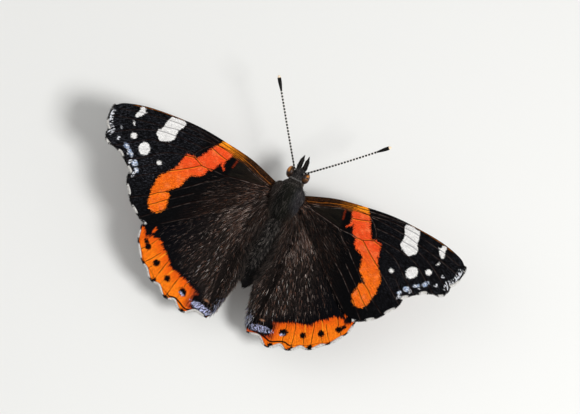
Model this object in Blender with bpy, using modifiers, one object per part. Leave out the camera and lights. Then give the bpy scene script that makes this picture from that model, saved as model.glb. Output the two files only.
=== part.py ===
# Red admiral butterfly, life size, standing with its wings spread.
# Sizes are in millimetres and are scaled by MM where a mesh is made.
# The head points to -Y and the butterfly's left is +X. Heights are counted from the wing hinges
# until the whole butterfly is set down, with the middle of its underside at the origin.
import math

import bmesh
import bpy
from mathutils import Vector, geometry

MM = 0.001
GAP = 0.3                    # clear gap between two parts that meet
HINGE_HEIGHT = 9.2           # wing hinges above the floor
FLOOR = -HINGE_HEIGHT

# Wing blade
BLADE_THICK = 0.5
VEIN_RISE = 0.18             # how far a vein stands above each face at its root
VEIN_HALF = 0.42             # from a vein's crest to its foot
VEIN_FADE = 0.5              # a vein is lower by this share at its tip
VEIN_STEP = 1.5
EDGE_STEP = 1.3
FIELD_STEP = 2.6             # spacing of the plain points between the veins
FIELD_COLUMNS = 14
FIELD_ROWS = 12
FIELD_FRONT = -4.0
EDGE_CLEAR = 0.7
POINT_CLEAR = 0.6
HIND_BELOW_FORE = 1.25       # the hindwing lies this far under the forewing
SPAN_SCALE = {"left": 1.008, "right": 0.992}
HIND_REACH = {"left": 1.015, "right": 0.985}
SIGN = {"left": 1, "right": -1}

# How the open wings bend
HINGE_OUT = 2.92             # the hinge line lies this far from the middle of the body
RISE = 0.19                  # slope of the wings away from the body
TIP_DROOP = 0.0018
CHORD_CENTRE = 7.0
CHORD_DROOP = 0.005
REAR_START = 8.0
REAR_DROOP = 0.004
CREASE_X = 3.9               # the fold along the hindwing's inner flap
CREASE_WIDTH = 1.1
CREASE_DEPTH = 0.6
FLAP_RISE = 0.22
CREASE_START = (3.0, 5.0)    # the fold begins this far back and takes this long to deepen

FORE_ROOT = [(1.5, -0.1), (1.5, 1.4)]
FORE_COSTA = [(3.1, -0.6), (8.0, -2.1), (13.2, -2.75), (18.2, -3.1), (23.4, -2.7), (28.0, -1.95),
              (31.6, -0.7)]
FORE_MARGIN = [(33.1, 0.4), (33.3, 2.0), (32.8, 3.7), (32.1, 4.5), (32.35, 5.5), (31.5, 6.5), (30.0, 6.9),
               (28.6, 7.1), (27.3, 8.3), (25.6, 9.4), (25.7, 10.9), (24.3, 12.6), (23.6, 14.0),
               (22.1, 14.9), (20.9, 15.9)]
FORE_INNER = [(19.5, 16.15), (18.3, 15.95), (16.8, 15.3), (15.1, 13.8), (10.7, 9.8), (6.0, 5.0), (3.2, 2.1)]

HIND_ROOT = [(1.3, 4.4), (1.3, 2.1)]
HIND_COSTA = [(3.0, 1.5), (7.5, 3.4), (12.5, 6.9), (16.8, 10.9), (19.3, 14.2)]
HIND_MARGIN = [(20.0, 16.3), (19.75, 17.7), (19.4, 19.2), (18.6, 20.2), (17.4, 21.9), (16.2, 22.5),
               (14.8, 24.0), (13.2, 24.0), (11.5, 25.5), (9.9, 25.0), (8.0, 26.3), (6.1, 25.0), (3.7, 25.2)]
HIND_INNER = [(2.7, 23.3), (2.0, 20.3), (1.5, 17.9), (1.4, 16.4), (2.0, 14.6), (2.7, 12.0), (2.9, 8.5), (2.4, 5.6)]

FORE_VEINS = {
    "subcosta": [(3.2, 0.0), (8.0, -1.3), (12.5, -2.0), (16.5, -2.45)],
    "radius": [(3.4, 0.5), (7.0, -0.6), (11.0, -1.0), (14.5, -0.7), (20.0, -1.0), (26.0, -0.9), (31.8, 0.9)],
    "radius_branch": [(20.0, -1.0), (24.0, -1.75), (28.2, -1.2)],
    "cell_end": [(14.5, -0.7), (16.4, 0.6), (16.6, 2.5), (15.2, 3.3)],
    "media_1": [(16.4, 0.6), (22.0, 0.9), (27.5, 2.0), (31.9, 3.4)],
    "media_2": [(16.5, 1.6), (21.5, 2.7), (27.0, 4.3), (31.3, 5.5)],
    "media_3": [(16.6, 2.5), (20.0, 4.1), (23.6, 6.0), (26.8, 7.9)],
    "cubitus": [(3.6, 1.2), (7.0, 2.0), (10.5, 2.9), (15.2, 3.3), (18.3, 5.2), (21.8, 8.0), (25.0, 10.4)],
    "cubitus_2": [(10.5, 2.9), (14.0, 6.0), (18.0, 9.6), (21.0, 11.9), (23.0, 13.5)],
    "anal": [(4.2, 1.8), (8.3, 5.2), (12.5, 8.4), (16.5, 11.9), (20.2, 15.1)],
}
HIND_VEINS = {
    "subcosta": [(3.6, 2.6), (8.5, 6.0), (13.5, 10.4), (19.2, 15.7)],
    "radius": [(3.8, 3.2), (7.0, 6.6), (11.0, 10.6), (15.5, 15.0), (18.8, 18.6)],
    "media_1": [(8.6, 8.2), (12.0, 14.0), (15.2, 18.6), (17.0, 21.2)],
    "media_2": [(8.9, 11.2), (11.6, 16.6), (14.4, 23.1)],
    "cubitus": [(3.7, 3.8), (6.6, 9.8), (8.2, 14.0), (10.0, 19.4), (11.2, 24.7)],
    "cubitus_2": [(6.4, 9.3), (6.9, 14.5), (7.4, 20.0), (7.9, 25.4)],
    "cell_end": [(8.6, 8.2), (8.9, 11.2), (8.2, 14.0)],
    "anal": [(3.4, 4.6), (4.4, 10.0), (4.9, 15.0), (4.6, 20.0), (3.9, 24.4)],
}

# Body rings: place along Y, half width, top, bottom
THORAX = [(-2.1, 1.5, 0.2, -2.5), (-1.6, 2.05, 0.6, -3.0), (-0.7, 2.6, 1.05, -3.5), (0.4, 2.92, 1.3, -3.75),
          (1.6, 2.98, 1.4, -3.85), (2.8, 2.75, 1.2, -3.75), (3.8, 2.35, 0.8, -3.45), (4.5, 1.95, 0.35, -3.1),
          (4.9, 1.6, 0.0, -2.75)]
HEAD = [(-2.4, 1.2, 0.0, -2.1), (-2.75, 1.5, 0.3, -2.4), (-3.4, 1.65, 0.42, -2.5), (-4.0, 1.5, 0.25, -2.45),
        (-4.45, 1.15, -0.1, -2.2), (-4.75, 0.65, -0.6, -1.7)]
EYE_CENTRE = (1.38, -3.45, -0.95)
EYE_RADII = (0.76, 1.08, 1.22)

ABDOMEN_START = 5.2
ABDOMEN_END = 17.9
ABDOMEN_RINGS = 8
ABDOMEN_SHIFT = 0.25         # the tip leans a little to the left
RING_GROOVE = 0.11

PALP = [(0.42, -4.1, -1.75), (0.5, -4.9, -1.6), (0.5, -5.9, -1.3), (0.44, -7.05, -0.85)]
PALP_RADII = [0.3, 0.38, 0.33, 0.12]

ANTENNA_BASE = (0.62, -3.5, 0.1)
ANTENNA_TIP = {"left": (10.27, -17.12, 3.3), "right": (12.75, -13.76, 3.3)}
ANTENNA_SAG = 0.5
ANTENNA_POINTS = 15
SHAFT_RADIUS = 0.25
CLUB_RADIUS = 0.37
CLUB_START = 0.84            # where the club begins, as a share of the length
CLUB_TAPER = 0.08
CLUB_TIP = 0.2

COIL_CENTRE = (-4.75, -3.55)
COIL_RADII = (1.0, 0.34)
COIL_TURNS = 1.3
COIL_POINTS = 22
COIL_TUBE = (0.21, 0.13)
COIL_ROOT = [(0.0, 0.75, 1.6), (0.0, 0.35, 1.2)]

# Walking legs: hip, knee, ankle and toe, on the left side
LEGS = {
    "midleg": [(0.9, 0.5, -3.0), (5.4, -1.7, -3.3), (7.9, -3.1, -8.75), (10.6, -4.5, -9.03)],
    "hindleg": [(0.9, 3.1, -3.0), (4.5, 6.7, -3.6), (6.7, 10.9, -8.75), (7.9, 13.9, -9.03)],
}
FEMUR_RADII = [0.34, 0.42, 0.36, 0.27]
TIBIA_RADII = [0.27, 0.29, 0.27, 0.25]
TARSUS_RADII = [0.25, 0.25, 0.24, 0.22]
TARSUS_HEIGHT = FLOOR + 0.17
FORELEG = [(0.75, -1.0, -2.7), (1.15, -2.1, -3.5), (1.15, -3.2, -3.75), (0.95, -4.0, -3.6)]
FORELEG_RADII = [0.3, 0.32, 0.3, 0.2]


def clear_scene():
    for obj in list(bpy.data.objects):
        bpy.data.objects.remove(obj)


def make_collection(name):
    collection = bpy.data.collections.new(name)
    bpy.context.scene.collection.children.link(collection)
    return collection


def make_material(name, colour, roughness):
    material = bpy.data.materials.new(name)
    material.use_nodes = True
    shader = material.node_tree.nodes["Principled BSDF"]
    shader.inputs["Base Color"].default_value = (*colour, 1.0)
    shader.inputs["Roughness"].default_value = roughness
    shader.inputs["Metallic"].default_value = 0.0
    return material


def object_from(name, bm, collection, material=None):
    """A mesh object from a bmesh drawn in millimetres."""
    bmesh.ops.scale(bm, vec=(MM, MM, MM), verts=bm.verts)
    mesh = bpy.data.meshes.new(name)
    bm.to_mesh(mesh)
    bm.free()
    obj = bpy.data.objects.new(name, mesh)
    collection.objects.link(obj)
    if material:
        mesh.materials.append(material)
    mesh.shade_smooth()
    return obj


def spline(points, step, closed=False):
    """Points about one step apart on a smooth curve through the given points."""
    points = [Vector(p) for p in points]
    count = len(points)
    smooth = []
    for i in range(count if closed else count - 1):
        p1, p2 = points[i], points[(i + 1) % count]
        p0 = points[i - 1] if i or closed else p1 - (p2 - p1)
        p3 = points[(i + 2) % count] if i + 2 < count or closed else p2 + (p2 - p1)
        pieces = max(1, round((p2 - p1).length / step))
        for k in range(pieces):
            t = k / pieces
            smooth.append(0.5 * (2 * p1 + (p2 - p0) * t + (2 * p0 - 5 * p1 + 4 * p2 - p3) * t ** 2
                                 + (3 * p1 - p0 - 3 * p2 + p3) * t ** 3))
    if not closed:
        smooth.append(points[-1])
    return smooth


def blend_list(values, share):
    """A value read between the entries of a list."""
    place = share * (len(values) - 1)
    i = min(int(place), len(values) - 2)
    return values[i] + (values[i + 1] - values[i]) * (place - i)


def tube(name, points, radii, collection, material, step=0.8):
    """A closed round tube through the points, with its radius read from the list along its length."""
    path = spline(points, step)
    curve = bpy.data.curves.new(name, "CURVE")
    curve.dimensions = "3D"
    curve.bevel_depth = MM
    curve.bevel_resolution = 2
    curve.use_fill_caps = True
    line = curve.splines.new("POLY")
    line.points.add(len(path) - 1)
    for i, place in enumerate(path):
        line.points[i].co = (*(place * MM), 1.0)
        line.points[i].radius = blend_list(radii, i / (len(path) - 1))
    holder = bpy.data.objects.new(name + "_curve", curve)
    collection.objects.link(holder)
    bpy.context.view_layer.update()
    graph = bpy.context.evaluated_depsgraph_get()
    mesh = bpy.data.meshes.new_from_object(holder.evaluated_get(graph))
    bpy.data.objects.remove(holder)
    bm = bmesh.new()
    bm.from_mesh(mesh)
    bmesh.ops.remove_doubles(bm, verts=bm.verts, dist=0.00001)
    bmesh.ops.recalc_face_normals(bm, faces=bm.faces)
    bm.to_mesh(mesh)
    bm.free()
    obj = bpy.data.objects.new(name, mesh)
    collection.objects.link(obj)
    mesh.materials.clear()
    mesh.materials.append(material)
    mesh.shade_smooth()
    return obj


def lofted(name, rings, collection, material, sides=24, lean=None):
    """A body part from oval rings across Y, bridged and capped flat at both ends."""
    bm = bmesh.new()
    loops = []
    for y, half, top, bottom in rings:
        made = bmesh.ops.create_circle(bm, segments=sides, radius=1.0)["verts"]
        middle, tall = (top + bottom) / 2, (top - bottom) / 2
        shift = lean(y) if lean else 0.0
        for vert in made:
            vert.co = Vector((vert.co.x * half + shift, y, vert.co.y * tall + middle))
        loops.append(made)
    for near, far in zip(loops, loops[1:]):
        edges = {e for v in near + far for e in v.link_edges
                 if all(w in near for w in e.verts) or all(w in far for w in e.verts)}
        bmesh.ops.bridge_loops(bm, edges=list(edges))
    bm.faces.new(loops[0])
    bm.faces.new(loops[-1])
    bm.normal_update()
    bmesh.ops.recalc_face_normals(bm, faces=bm.faces)
    return object_from(name, bm, collection, material)


def swollen(source, helpers, extra=GAP):
    """A hidden copy of a part, grown by the gap, that cuts its neighbours back from it."""
    bpy.context.view_layer.update()
    graph = bpy.context.evaluated_depsgraph_get()
    mesh = bpy.data.meshes.new_from_object(source.evaluated_get(graph))
    cutter = bpy.data.objects.new("around_" + source.name, mesh)
    helpers.objects.link(cutter)
    cutter.hide_render = True
    cutter.display_type = "WIRE"
    grow = cutter.modifiers.new("Grow", "DISPLACE")
    grow.strength = extra * MM
    grow.mid_level = 0.0
    return cutter


def cut_by(obj, *cutters):
    for cutter in cutters:
        cut = obj.modifiers.new("Clear of " + cutter.name, "BOOLEAN")
        cut.operation = "DIFFERENCE"
        cut.solver = "EXACT"
        cut.object = cutter


def fore_height(x, y):
    """Height of the forewing's middle surface over the hinges."""
    out = x - HINGE_OUT
    return RISE * out - TIP_DROOP * out * abs(out) - CHORD_DROOP * (y - CHORD_CENTRE) ** 2


def hind_height(x, y):
    """The hindwing lies under the forewing, droops to the rear and is creased beside the abdomen."""
    rear = max(0.0, y - REAR_START)
    ramp = min(1.0, max(0.0, (y - CREASE_START[0]) / CREASE_START[1]))
    crease = CREASE_DEPTH * math.exp(-((x - CREASE_X) / CREASE_WIDTH) ** 2)
    flap = FLAP_RISE * max(0.0, CREASE_X - x)
    return fore_height(x, y) - HIND_BELOW_FORE - REAR_DROOP * rear ** 2 + ramp * (flap - crease)


def vein_distance(place, lines):
    """Distance from a flat point to the nearest vein, and how far along that vein it is, from 0 to 1."""
    best, along = 1e9, 0.0
    for line in lines:
        for i in range(len(line) - 1):
            a, b = line[i], line[i + 1]
            span = b - a
            t = min(1.0, max(0.0, (place - a).dot(span) / span.length_squared))
            gap = (place - a - span * t).length
            if gap < best:
                best, along = gap, (i + t) / (len(line) - 1)
    return best, along


def inside(place, loop):
    """True if a flat point lies within the closed outline."""
    found = False
    for i, a in enumerate(loop):
        b = loop[i - 1]
        if (a.y > place.y) != (b.y > place.y):
            if place.x < (b.x - a.x) * (place.y - a.y) / (b.y - a.y) + a.x:
                found = not found
    return found


def field_points(lines, outline):
    """Points along the feet of the veins and over the membrane between them."""
    spare = []
    for line in lines:
        for before, place, after in zip(line, line[1:], line[2:]):
            across = (after - before).orthogonal().normalized() * VEIN_HALF
            spare += [place + across, place - across]
    for column in range(FIELD_COLUMNS):
        for row in range(FIELD_ROWS):
            spare.append(Vector((FIELD_STEP * (column + 0.5 * (row % 2)), FIELD_STEP * row + FIELD_FRONT)))
    kept = []
    for place in spare:
        near_vein = vein_distance(place, lines)[0] < 0.9 * VEIN_HALF
        near_rim = vein_distance(place, [outline + outline[:1]])[0] < EDGE_CLEAR
        crowded = any((place - other).length < POINT_CLEAR for other in kept)
        if inside(place, outline) and not (near_vein or near_rim or crowded):
            kept.append(place)
    return kept


def wing(name, edges, veins, height, side, reach, collection, material):
    """A thin cambered blade, cut to its outline, whose veins are ridges in its own two faces."""
    outline = []
    for points in edges:
        outline += spline(points, EDGE_STEP)
    lines = [spline(points, VEIN_STEP) for points in veins]
    places, joins = list(outline), []
    for line in lines:
        joins += [(len(places) + i, len(places) + i + 1) for i in range(len(line) - 1)]
        places += line
    places += field_points(lines, outline)
    flat, _, faces, *_ = geometry.delaunay_2d_cdt(places, joins, [list(range(len(outline)))], 1, 1e-5)
    bm = bmesh.new()
    root = edges[0][0]
    for place in flat:
        x = root[0] + (place.x - root[0]) * SPAN_SCALE[side]
        y = root[1] + (place.y - root[1]) * reach
        bm.verts.new((x * SIGN[side], y, height(x, y)))
    bm.verts.ensure_lookup_table()
    for face in faces:
        bm.faces.new([bm.verts[i] for i in face])
    bm.normal_update()
    bmesh.ops.recalc_face_normals(bm, faces=bm.faces)
    if sum(f.normal.z for f in bm.faces) < 0:
        bmesh.ops.reverse_faces(bm, faces=bm.faces)
    obj = object_from(name, bm, collection, material)
    crest = obj.vertex_groups.new(name="veins")
    for i, place in enumerate(flat):
        gap, along = vein_distance(place, lines)
        crest.add([i], max(0.0, 1 - gap / VEIN_HALF) * (1 - VEIN_FADE * along), "REPLACE")
    shell = obj.modifiers.new("Blade", "SOLIDIFY")
    full = BLADE_THICK + 2 * VEIN_RISE
    shell.thickness = full * MM
    shell.offset = 0.0
    shell.vertex_group = "veins"
    shell.thickness_vertex_group = BLADE_THICK / full
    return obj


def make_eye(side, collection, material):
    bm = bmesh.new()
    bmesh.ops.create_uvsphere(bm, u_segments=18, v_segments=12, radius=1.0)
    x, y, z = EYE_CENTRE
    for vert in bm.verts:
        vert.co = Vector((x * SIGN[side] + vert.co.z * EYE_RADII[0], y + vert.co.y * EYE_RADII[1],
                          z + vert.co.x * EYE_RADII[2]))
    bm.normal_update()
    bmesh.ops.recalc_face_normals(bm, faces=bm.faces)
    return object_from("eye_" + side, bm, collection, material)


def abdomen_rings():
    """Rings for the abdomen: each segment swells and is pinched where it meets the next."""
    rings = []
    segment = (ABDOMEN_END - ABDOMEN_START) / ABDOMEN_RINGS
    for i in range(ABDOMEN_RINGS):
        for part, groove in ((0.06, 1.0), (0.3, 0.25), (0.72, 0.0)):
            y = ABDOMEN_START + (i + part) * segment
            if i == 0 and groove == 1.0:
                y = ABDOMEN_START
            share = (y - ABDOMEN_START) / (ABDOMEN_END - ABDOMEN_START)
            girth = 1.28 + 1.9 * share - 1.0 * share ** 2 - 1.62 * share ** 4
            girth -= RING_GROOVE * groove
            middle = -1.45 - 1.5 * share - 1.55 * share ** 2
            rings.append((y, girth, middle + 1.02 * girth, middle - 1.02 * girth))
    rings.append((ABDOMEN_END, 0.3, -4.2, -4.75))
    return rings


def mirrored(points, side):
    return [(x * SIGN[side], y, z) for x, y, z in points]


def make_antenna(side, collection, material):
    base = Vector(ANTENNA_BASE)
    tip = Vector(ANTENNA_TIP[side])
    points, radii = [], []
    for i in range(ANTENNA_POINTS):
        share = i / (ANTENNA_POINTS - 1)
        sag = Vector((0, 0, ANTENNA_SAG * math.sin(math.pi * share)))
        points.append(base + (tip - base) * share - sag)
        club = min(1.0, max(0.0, (share - CLUB_START) / CLUB_TAPER))
        radii.append(SHAFT_RADIUS + (CLUB_RADIUS - SHAFT_RADIUS) * club)
    radii[-1] = CLUB_TIP
    return tube("antenna_" + side, mirrored(points, side), radii, collection, material, step=1.3)


def make_proboscis(collection, material):
    centre_y, centre_z = COIL_CENTRE
    points = [(x, centre_y + y, centre_z + z) for x, y, z in COIL_ROOT]
    for i in range(COIL_POINTS):
        share = i / (COIL_POINTS - 1)
        radius = blend_list(COIL_RADII, share)
        turn = 2 * math.pi * COIL_TURNS * share
        points.append((0.0, centre_y - radius * math.sin(turn), centre_z + radius * math.cos(turn)))
    return tube("proboscis", points, COIL_TUBE, collection, material, step=0.35)


def make_leg(kind, side, thorax_cutter, collection, helpers, material):
    hip, knee, ankle, toe = [Vector(p) for p in mirrored(LEGS[kind], side)]
    lift = Vector((0, 0, 0.35))
    femur = tube(f"{kind}_femur_{side}", [hip, (hip + knee) / 2 + lift, knee], FEMUR_RADII, collection, material)
    cut_by(femur, thorax_cutter)
    middle = (ankle + toe) / 2
    for place in (ankle, middle, toe):
        place.z = TARSUS_HEIGHT
    tarsus = tube(f"{kind}_tarsus_{side}", [ankle, middle, toe], TARSUS_RADII, collection, material)
    bm = bmesh.new()
    bm.from_mesh(tarsus.data)
    cut = bmesh.ops.bisect_plane(bm, geom=bm.verts[:] + bm.edges[:] + bm.faces[:], dist=1e-7,
                                 plane_co=(0, 0, FLOOR * MM), plane_no=(0, 0, -1), clear_outer=True)
    bmesh.ops.holes_fill(bm, edges=[e for e in cut["geom_cut"] if isinstance(e, bmesh.types.BMEdge)])
    bmesh.ops.recalc_face_normals(bm, faces=bm.faces)
    bm.to_mesh(tarsus.data)
    bm.free()
    bend = (knee + ankle) / 2 + Vector((0.25 * SIGN[side], 0, 0))
    tibia = tube(f"{kind}_tibia_{side}", [knee, bend, ankle], TIBIA_RADII, collection, material)
    cut_by(tibia, swollen(femur, helpers), swollen(tarsus, helpers))


def set_down(butterfly, helpers):
    """Moves the whole butterfly so that the middle of its box's underside is at the origin."""
    bpy.context.view_layer.update()
    graph = bpy.context.evaluated_depsgraph_get()
    corners = []
    for obj in butterfly.objects:
        mesh = obj.evaluated_get(graph).to_mesh()
        corners += [obj.matrix_world @ vert.co for vert in mesh.vertices]
        obj.evaluated_get(graph).to_mesh_clear()
    low = Vector([min(c[axis] for c in corners) for axis in range(3)])
    high = Vector([max(c[axis] for c in corners) for axis in range(3)])
    stance = bpy.data.objects.new("stance", None)
    for obj in [*butterfly.objects, *helpers.objects]:
        obj.parent = stance
    butterfly.objects.link(stance)
    stance.location = (-(low.x + high.x) / 2, -(low.y + high.y) / 2, -low.z)


def main():
    clear_scene()
    butterfly = make_collection("red_admiral")
    helpers = make_collection("cutters")
    fur = make_material("body_fur", (0.035, 0.03, 0.027), 0.9)
    shell = make_material("leg_shell", (0.05, 0.035, 0.028), 0.6)
    lens = make_material("eye", (0.16, 0.065, 0.02), 0.25)
    stalk = make_material("antenna", (0.04, 0.035, 0.03), 0.6)
    fore = make_material("forewing", (0.02, 0.017, 0.016), 0.8)
    hind = make_material("hindwing", (0.045, 0.03, 0.024), 0.85)

    thorax = lofted("thorax", THORAX, butterfly, fur)
    around_thorax = swollen(thorax, helpers)
    head = lofted("head", HEAD, butterfly, fur)
    lean = lambda y: ABDOMEN_SHIFT * ((y - ABDOMEN_START) / (ABDOMEN_END - ABDOMEN_START)) ** 2
    lofted("abdomen", abdomen_rings(), butterfly, fur, sides=20, lean=lean)
    around_eyes = [swollen(make_eye(side, butterfly, lens), helpers) for side in SIGN]
    cut_by(head, *around_eyes)
    around_head = swollen(lofted("head_form", HEAD, helpers, fur), helpers)
    bpy.data.objects["head_form"].hide_render = True

    mouth = make_proboscis(butterfly, shell)
    cut_by(mouth, around_head)
    for side in SIGN:
        palp = tube("palp_" + side, mirrored(PALP, side), PALP_RADII, butterfly, fur, step=0.45)
        feeler = make_antenna(side, butterfly, stalk)
        foreleg = tube("foreleg_" + side, mirrored(FORELEG, side), FORELEG_RADII, butterfly, fur, step=0.6)
        cut_by(palp, around_head, *around_eyes)
        cut_by(feeler, around_head, *around_eyes)
        cut_by(foreleg, around_thorax)
        for kind in LEGS:
            make_leg(kind, side, around_thorax, butterfly, helpers, shell)
        front = wing("forewing_" + side, [FORE_ROOT[:1] + FORE_COSTA, FORE_MARGIN, FORE_INNER + FORE_ROOT[1:]],
                     FORE_VEINS.values(), fore_height, side, 1.0, butterfly, fore)
        rear = wing("hindwing_" + side, [HIND_ROOT[1:] + HIND_COSTA, HIND_MARGIN, HIND_INNER + HIND_ROOT[:1]],
                    HIND_VEINS.values(), hind_height, side, HIND_REACH[side], butterfly, hind)
        cut_by(front, around_thorax)
        cut_by(rear, around_thorax)
    set_down(butterfly, helpers)


main()
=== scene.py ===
# Red admiral butterfly, standing with its wings spread out flat
import math

import bmesh
import bpy
import numpy as np
from mathutils import Matrix, Vector


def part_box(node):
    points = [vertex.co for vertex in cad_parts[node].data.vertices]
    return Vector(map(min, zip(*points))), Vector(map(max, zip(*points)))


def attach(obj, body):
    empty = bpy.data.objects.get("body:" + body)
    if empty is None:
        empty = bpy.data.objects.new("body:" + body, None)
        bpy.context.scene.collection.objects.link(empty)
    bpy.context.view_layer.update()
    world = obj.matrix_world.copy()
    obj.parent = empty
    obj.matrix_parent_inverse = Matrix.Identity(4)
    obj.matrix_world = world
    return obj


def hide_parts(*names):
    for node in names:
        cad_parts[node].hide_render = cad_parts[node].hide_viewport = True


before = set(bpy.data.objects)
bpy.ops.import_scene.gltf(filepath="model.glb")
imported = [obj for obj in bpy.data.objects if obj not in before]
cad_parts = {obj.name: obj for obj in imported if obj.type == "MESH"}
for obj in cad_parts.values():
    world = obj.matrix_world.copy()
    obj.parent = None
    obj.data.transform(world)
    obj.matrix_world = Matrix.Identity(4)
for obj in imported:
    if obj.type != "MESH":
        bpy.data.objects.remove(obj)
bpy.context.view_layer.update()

mm = 0.001
sides = {"left": 1, "right": -1}
dice = np.random.default_rng(11)      # every random draw in this file comes from here

# Places below are in mm from the point between the wing hinges: +X is the butterfly's left,
# -Y is where the head points. The thorax tells where that point is in the frame.
thoraxFront = -2.1
thoraxTop = 1.4
thoraxLow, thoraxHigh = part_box("thorax")
hinge = np.array([(thoraxLow.x + thoraxHigh.x) / 2, thoraxLow.y - thoraxFront * mm, thoraxHigh.z - thoraxTop * mm])


# Paths and distances
def smoothPath(points, count, closed=False):
    # evenly spaced points on a smooth curve through the given ones
    knots = np.array(points, float)
    if closed:
        knots = np.vstack([knots[-1:], knots, knots[:2]])
    else:
        knots = np.vstack([2 * knots[:1] - knots[1:2], knots, 2 * knots[-1:] - knots[-2:-1]])
    t = np.linspace(0, 1, 12, endpoint=False)[:, None]
    fine = [0.5 * (2 * b + (c - a) * t + (2 * a - 5 * b + 4 * c - d) * t ** 2 + (3 * b - a - 3 * c + d) * t ** 3)
            for a, b, c, d in zip(knots, knots[1:], knots[2:], knots[3:])]
    fine = np.vstack(fine + [knots[-2:-1]])
    length = np.concatenate([[0], np.cumsum(np.linalg.norm(np.diff(fine, axis=0), axis=1))])
    wanted = np.linspace(0, length[-1], count)
    return np.stack([np.interp(wanted, length, fine[:, axis]) for axis in range(fine.shape[1])], axis=1)


def alongPath(path, share):
    # points of a path at the given shares of its length
    places = np.linspace(0, 1, len(path))
    return np.stack([np.interp(share, places, path[:, axis]) for axis in range(path.shape[1])], axis=-1)


def lineDistance(flat, path):
    # distance from each flat point to the nearest point of an open line
    best = np.full(len(flat), 1e9)
    for a, b in zip(path, path[1:]):
        run = b - a
        t = np.clip((flat - a) @ run / max(run @ run, 1e-12), 0, 1)
        best = np.minimum(best, np.linalg.norm(flat - a - t[:, None] * run, axis=1))
    return best


def lineField(flat, lines):
    # the distance to the nearest of some lines, and the same with a sign for the side it is on
    near, side = np.full(len(flat), 1e9), np.full(len(flat), 1e9)
    for points in lines:
        path = smoothPath(points, 4 + 3 * len(points))
        for a, b in zip(path, path[1:]):
            run = b - a
            t = np.clip((flat - a) @ run / max(run @ run, 1e-12), 0, 1)
            off = flat - a - t[:, None] * run
            far = np.hypot(off[:, 0], off[:, 1])
            closer = far < near
            near = np.where(closer, far, near)
            side = np.where(closer, far * np.sign(run[0] * off[:, 1] - run[1] * off[:, 0]), side)
    return near, side


def loopDistance(flat, loop):
    # how far each flat point lies inside a closed loop; outside it is negative
    within = np.zeros(len(flat), bool)
    x, y = flat[:, 0], flat[:, 1]
    for a, b in zip(loop, np.roll(loop, -1, axis=0)):
        crosses = (a[1] > y) != (b[1] > y)
        rise = b[1] - a[1] if b[1] != a[1] else 1e-12
        within ^= crosses & (x < (b[0] - a[0]) * (y - a[1]) / rise + a[0])
    edge = lineDistance(flat, np.vstack([loop, loop[:1]]))
    return np.where(within, edge, -edge)


def insideDistance(flat, points, count=110):
    return loopDistance(flat, smoothPath(points, count, closed=True))


def discDistance(flat, discs):
    # the same for a set of ovals, each (x, y, half width, half height, turn in degrees)
    best = np.full(len(flat), -1e9)
    for x, y, wide, tall, turn in discs:
        c, s = math.cos(math.radians(turn)), math.sin(math.radians(turn))
        dx, dy = flat[:, 0] - x, flat[:, 1] - y
        radius = np.hypot((dx * c + dy * s) / wide, (dy * c - dx * s) / tall)
        best = np.maximum(best, (1 - radius) * min(wide, tall))
    return best


def smoothStep(values, low, high):
    t = np.clip((values - low) / (high - low), 0, 1)
    return t * t * (3 - 2 * t)


def putValues(mesh, name, values):
    mesh.attributes.new(name, "FLOAT", "POINT").data.foreach_set("value", np.asarray(values, np.float32))


def putColours(mesh, name, colours):
    rgba = np.ones((len(colours), 4), np.float32)
    rgba[:, :3] = colours
    mesh.attributes.new(name, "FLOAT_COLOR", "POINT").data.foreach_set("color", rgba.ravel())


def meshPlaces(mesh):
    places = np.zeros(len(mesh.vertices) * 3)
    mesh.vertices.foreach_get("co", places)
    return places.reshape(-1, 3)


def setPlaces(mesh, places):
    mesh.vertices.foreach_set("co", np.asarray(places).ravel())
    mesh.update()


def addPiece(name, mesh, materials, slot, replaced=()):
    piece = bpy.data.objects.new(name, mesh)
    bpy.context.scene.collection.objects.link(piece)
    mesh.materials.clear()
    for material in materials:
        mesh.materials.append(material)
    mesh.shade_smooth()
    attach(piece, "root")
    if replaced:
        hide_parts(*replaced)
    return piece


def srgb(red, green, blue):
    # a colour as a picture shows it, made linear
    return tuple((c / 255 / 12.92) if c <= 10 else ((c / 255 + 0.055) / 1.055) ** 2.4 for c in (red, green, blue))


# Small helpers for shader nodes
def newMaterial(name):
    material = bpy.data.materials.new(name)
    material.use_nodes = True
    return material, material.node_tree, material.node_tree.nodes["Principled BSDF"]


def feed(tree, socket, value):
    if hasattr(value, "is_linked"):
        tree.links.new(value, socket)
    elif isinstance(value, tuple) and len(value) == 3 and socket.type == "RGBA":
        socket.default_value = (*value, 1.0)
    else:
        socket.default_value = value


def calc(tree, operation, a, b=0.0, c=0.0, clamp=False):
    node = tree.nodes.new("ShaderNodeMath")
    node.operation = operation
    node.use_clamp = clamp
    for socket, value in zip(node.inputs, (a, b, c)):
        feed(tree, socket, value)
    return node.outputs[0]


def fade(tree, value, low, high, start=0.0, end=1.0):
    # a soft step from start to end as the value goes from low to high
    node = tree.nodes.new("ShaderNodeMapRange")
    node.interpolation_type = "SMOOTHSTEP"
    for name, setting in (("Value", value), ("From Min", low), ("From Max", high), ("To Min", start), ("To Max", end)):
        feed(tree, node.inputs[name], setting)
    return node.outputs["Result"]


def blendColours(tree, share, a, b, kind="MIX"):
    node = tree.nodes.new("ShaderNodeMix")
    node.data_type = "RGBA"
    node.blend_type = kind
    feed(tree, node.inputs["Factor"], share)
    feed(tree, node.inputs[6], a)
    feed(tree, node.inputs[7], b)
    return node.outputs[2]


def readValue(tree, name, output="Fac"):
    node = tree.nodes.new("ShaderNodeAttribute")
    node.attribute_name = name
    return node.outputs[output]


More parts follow.
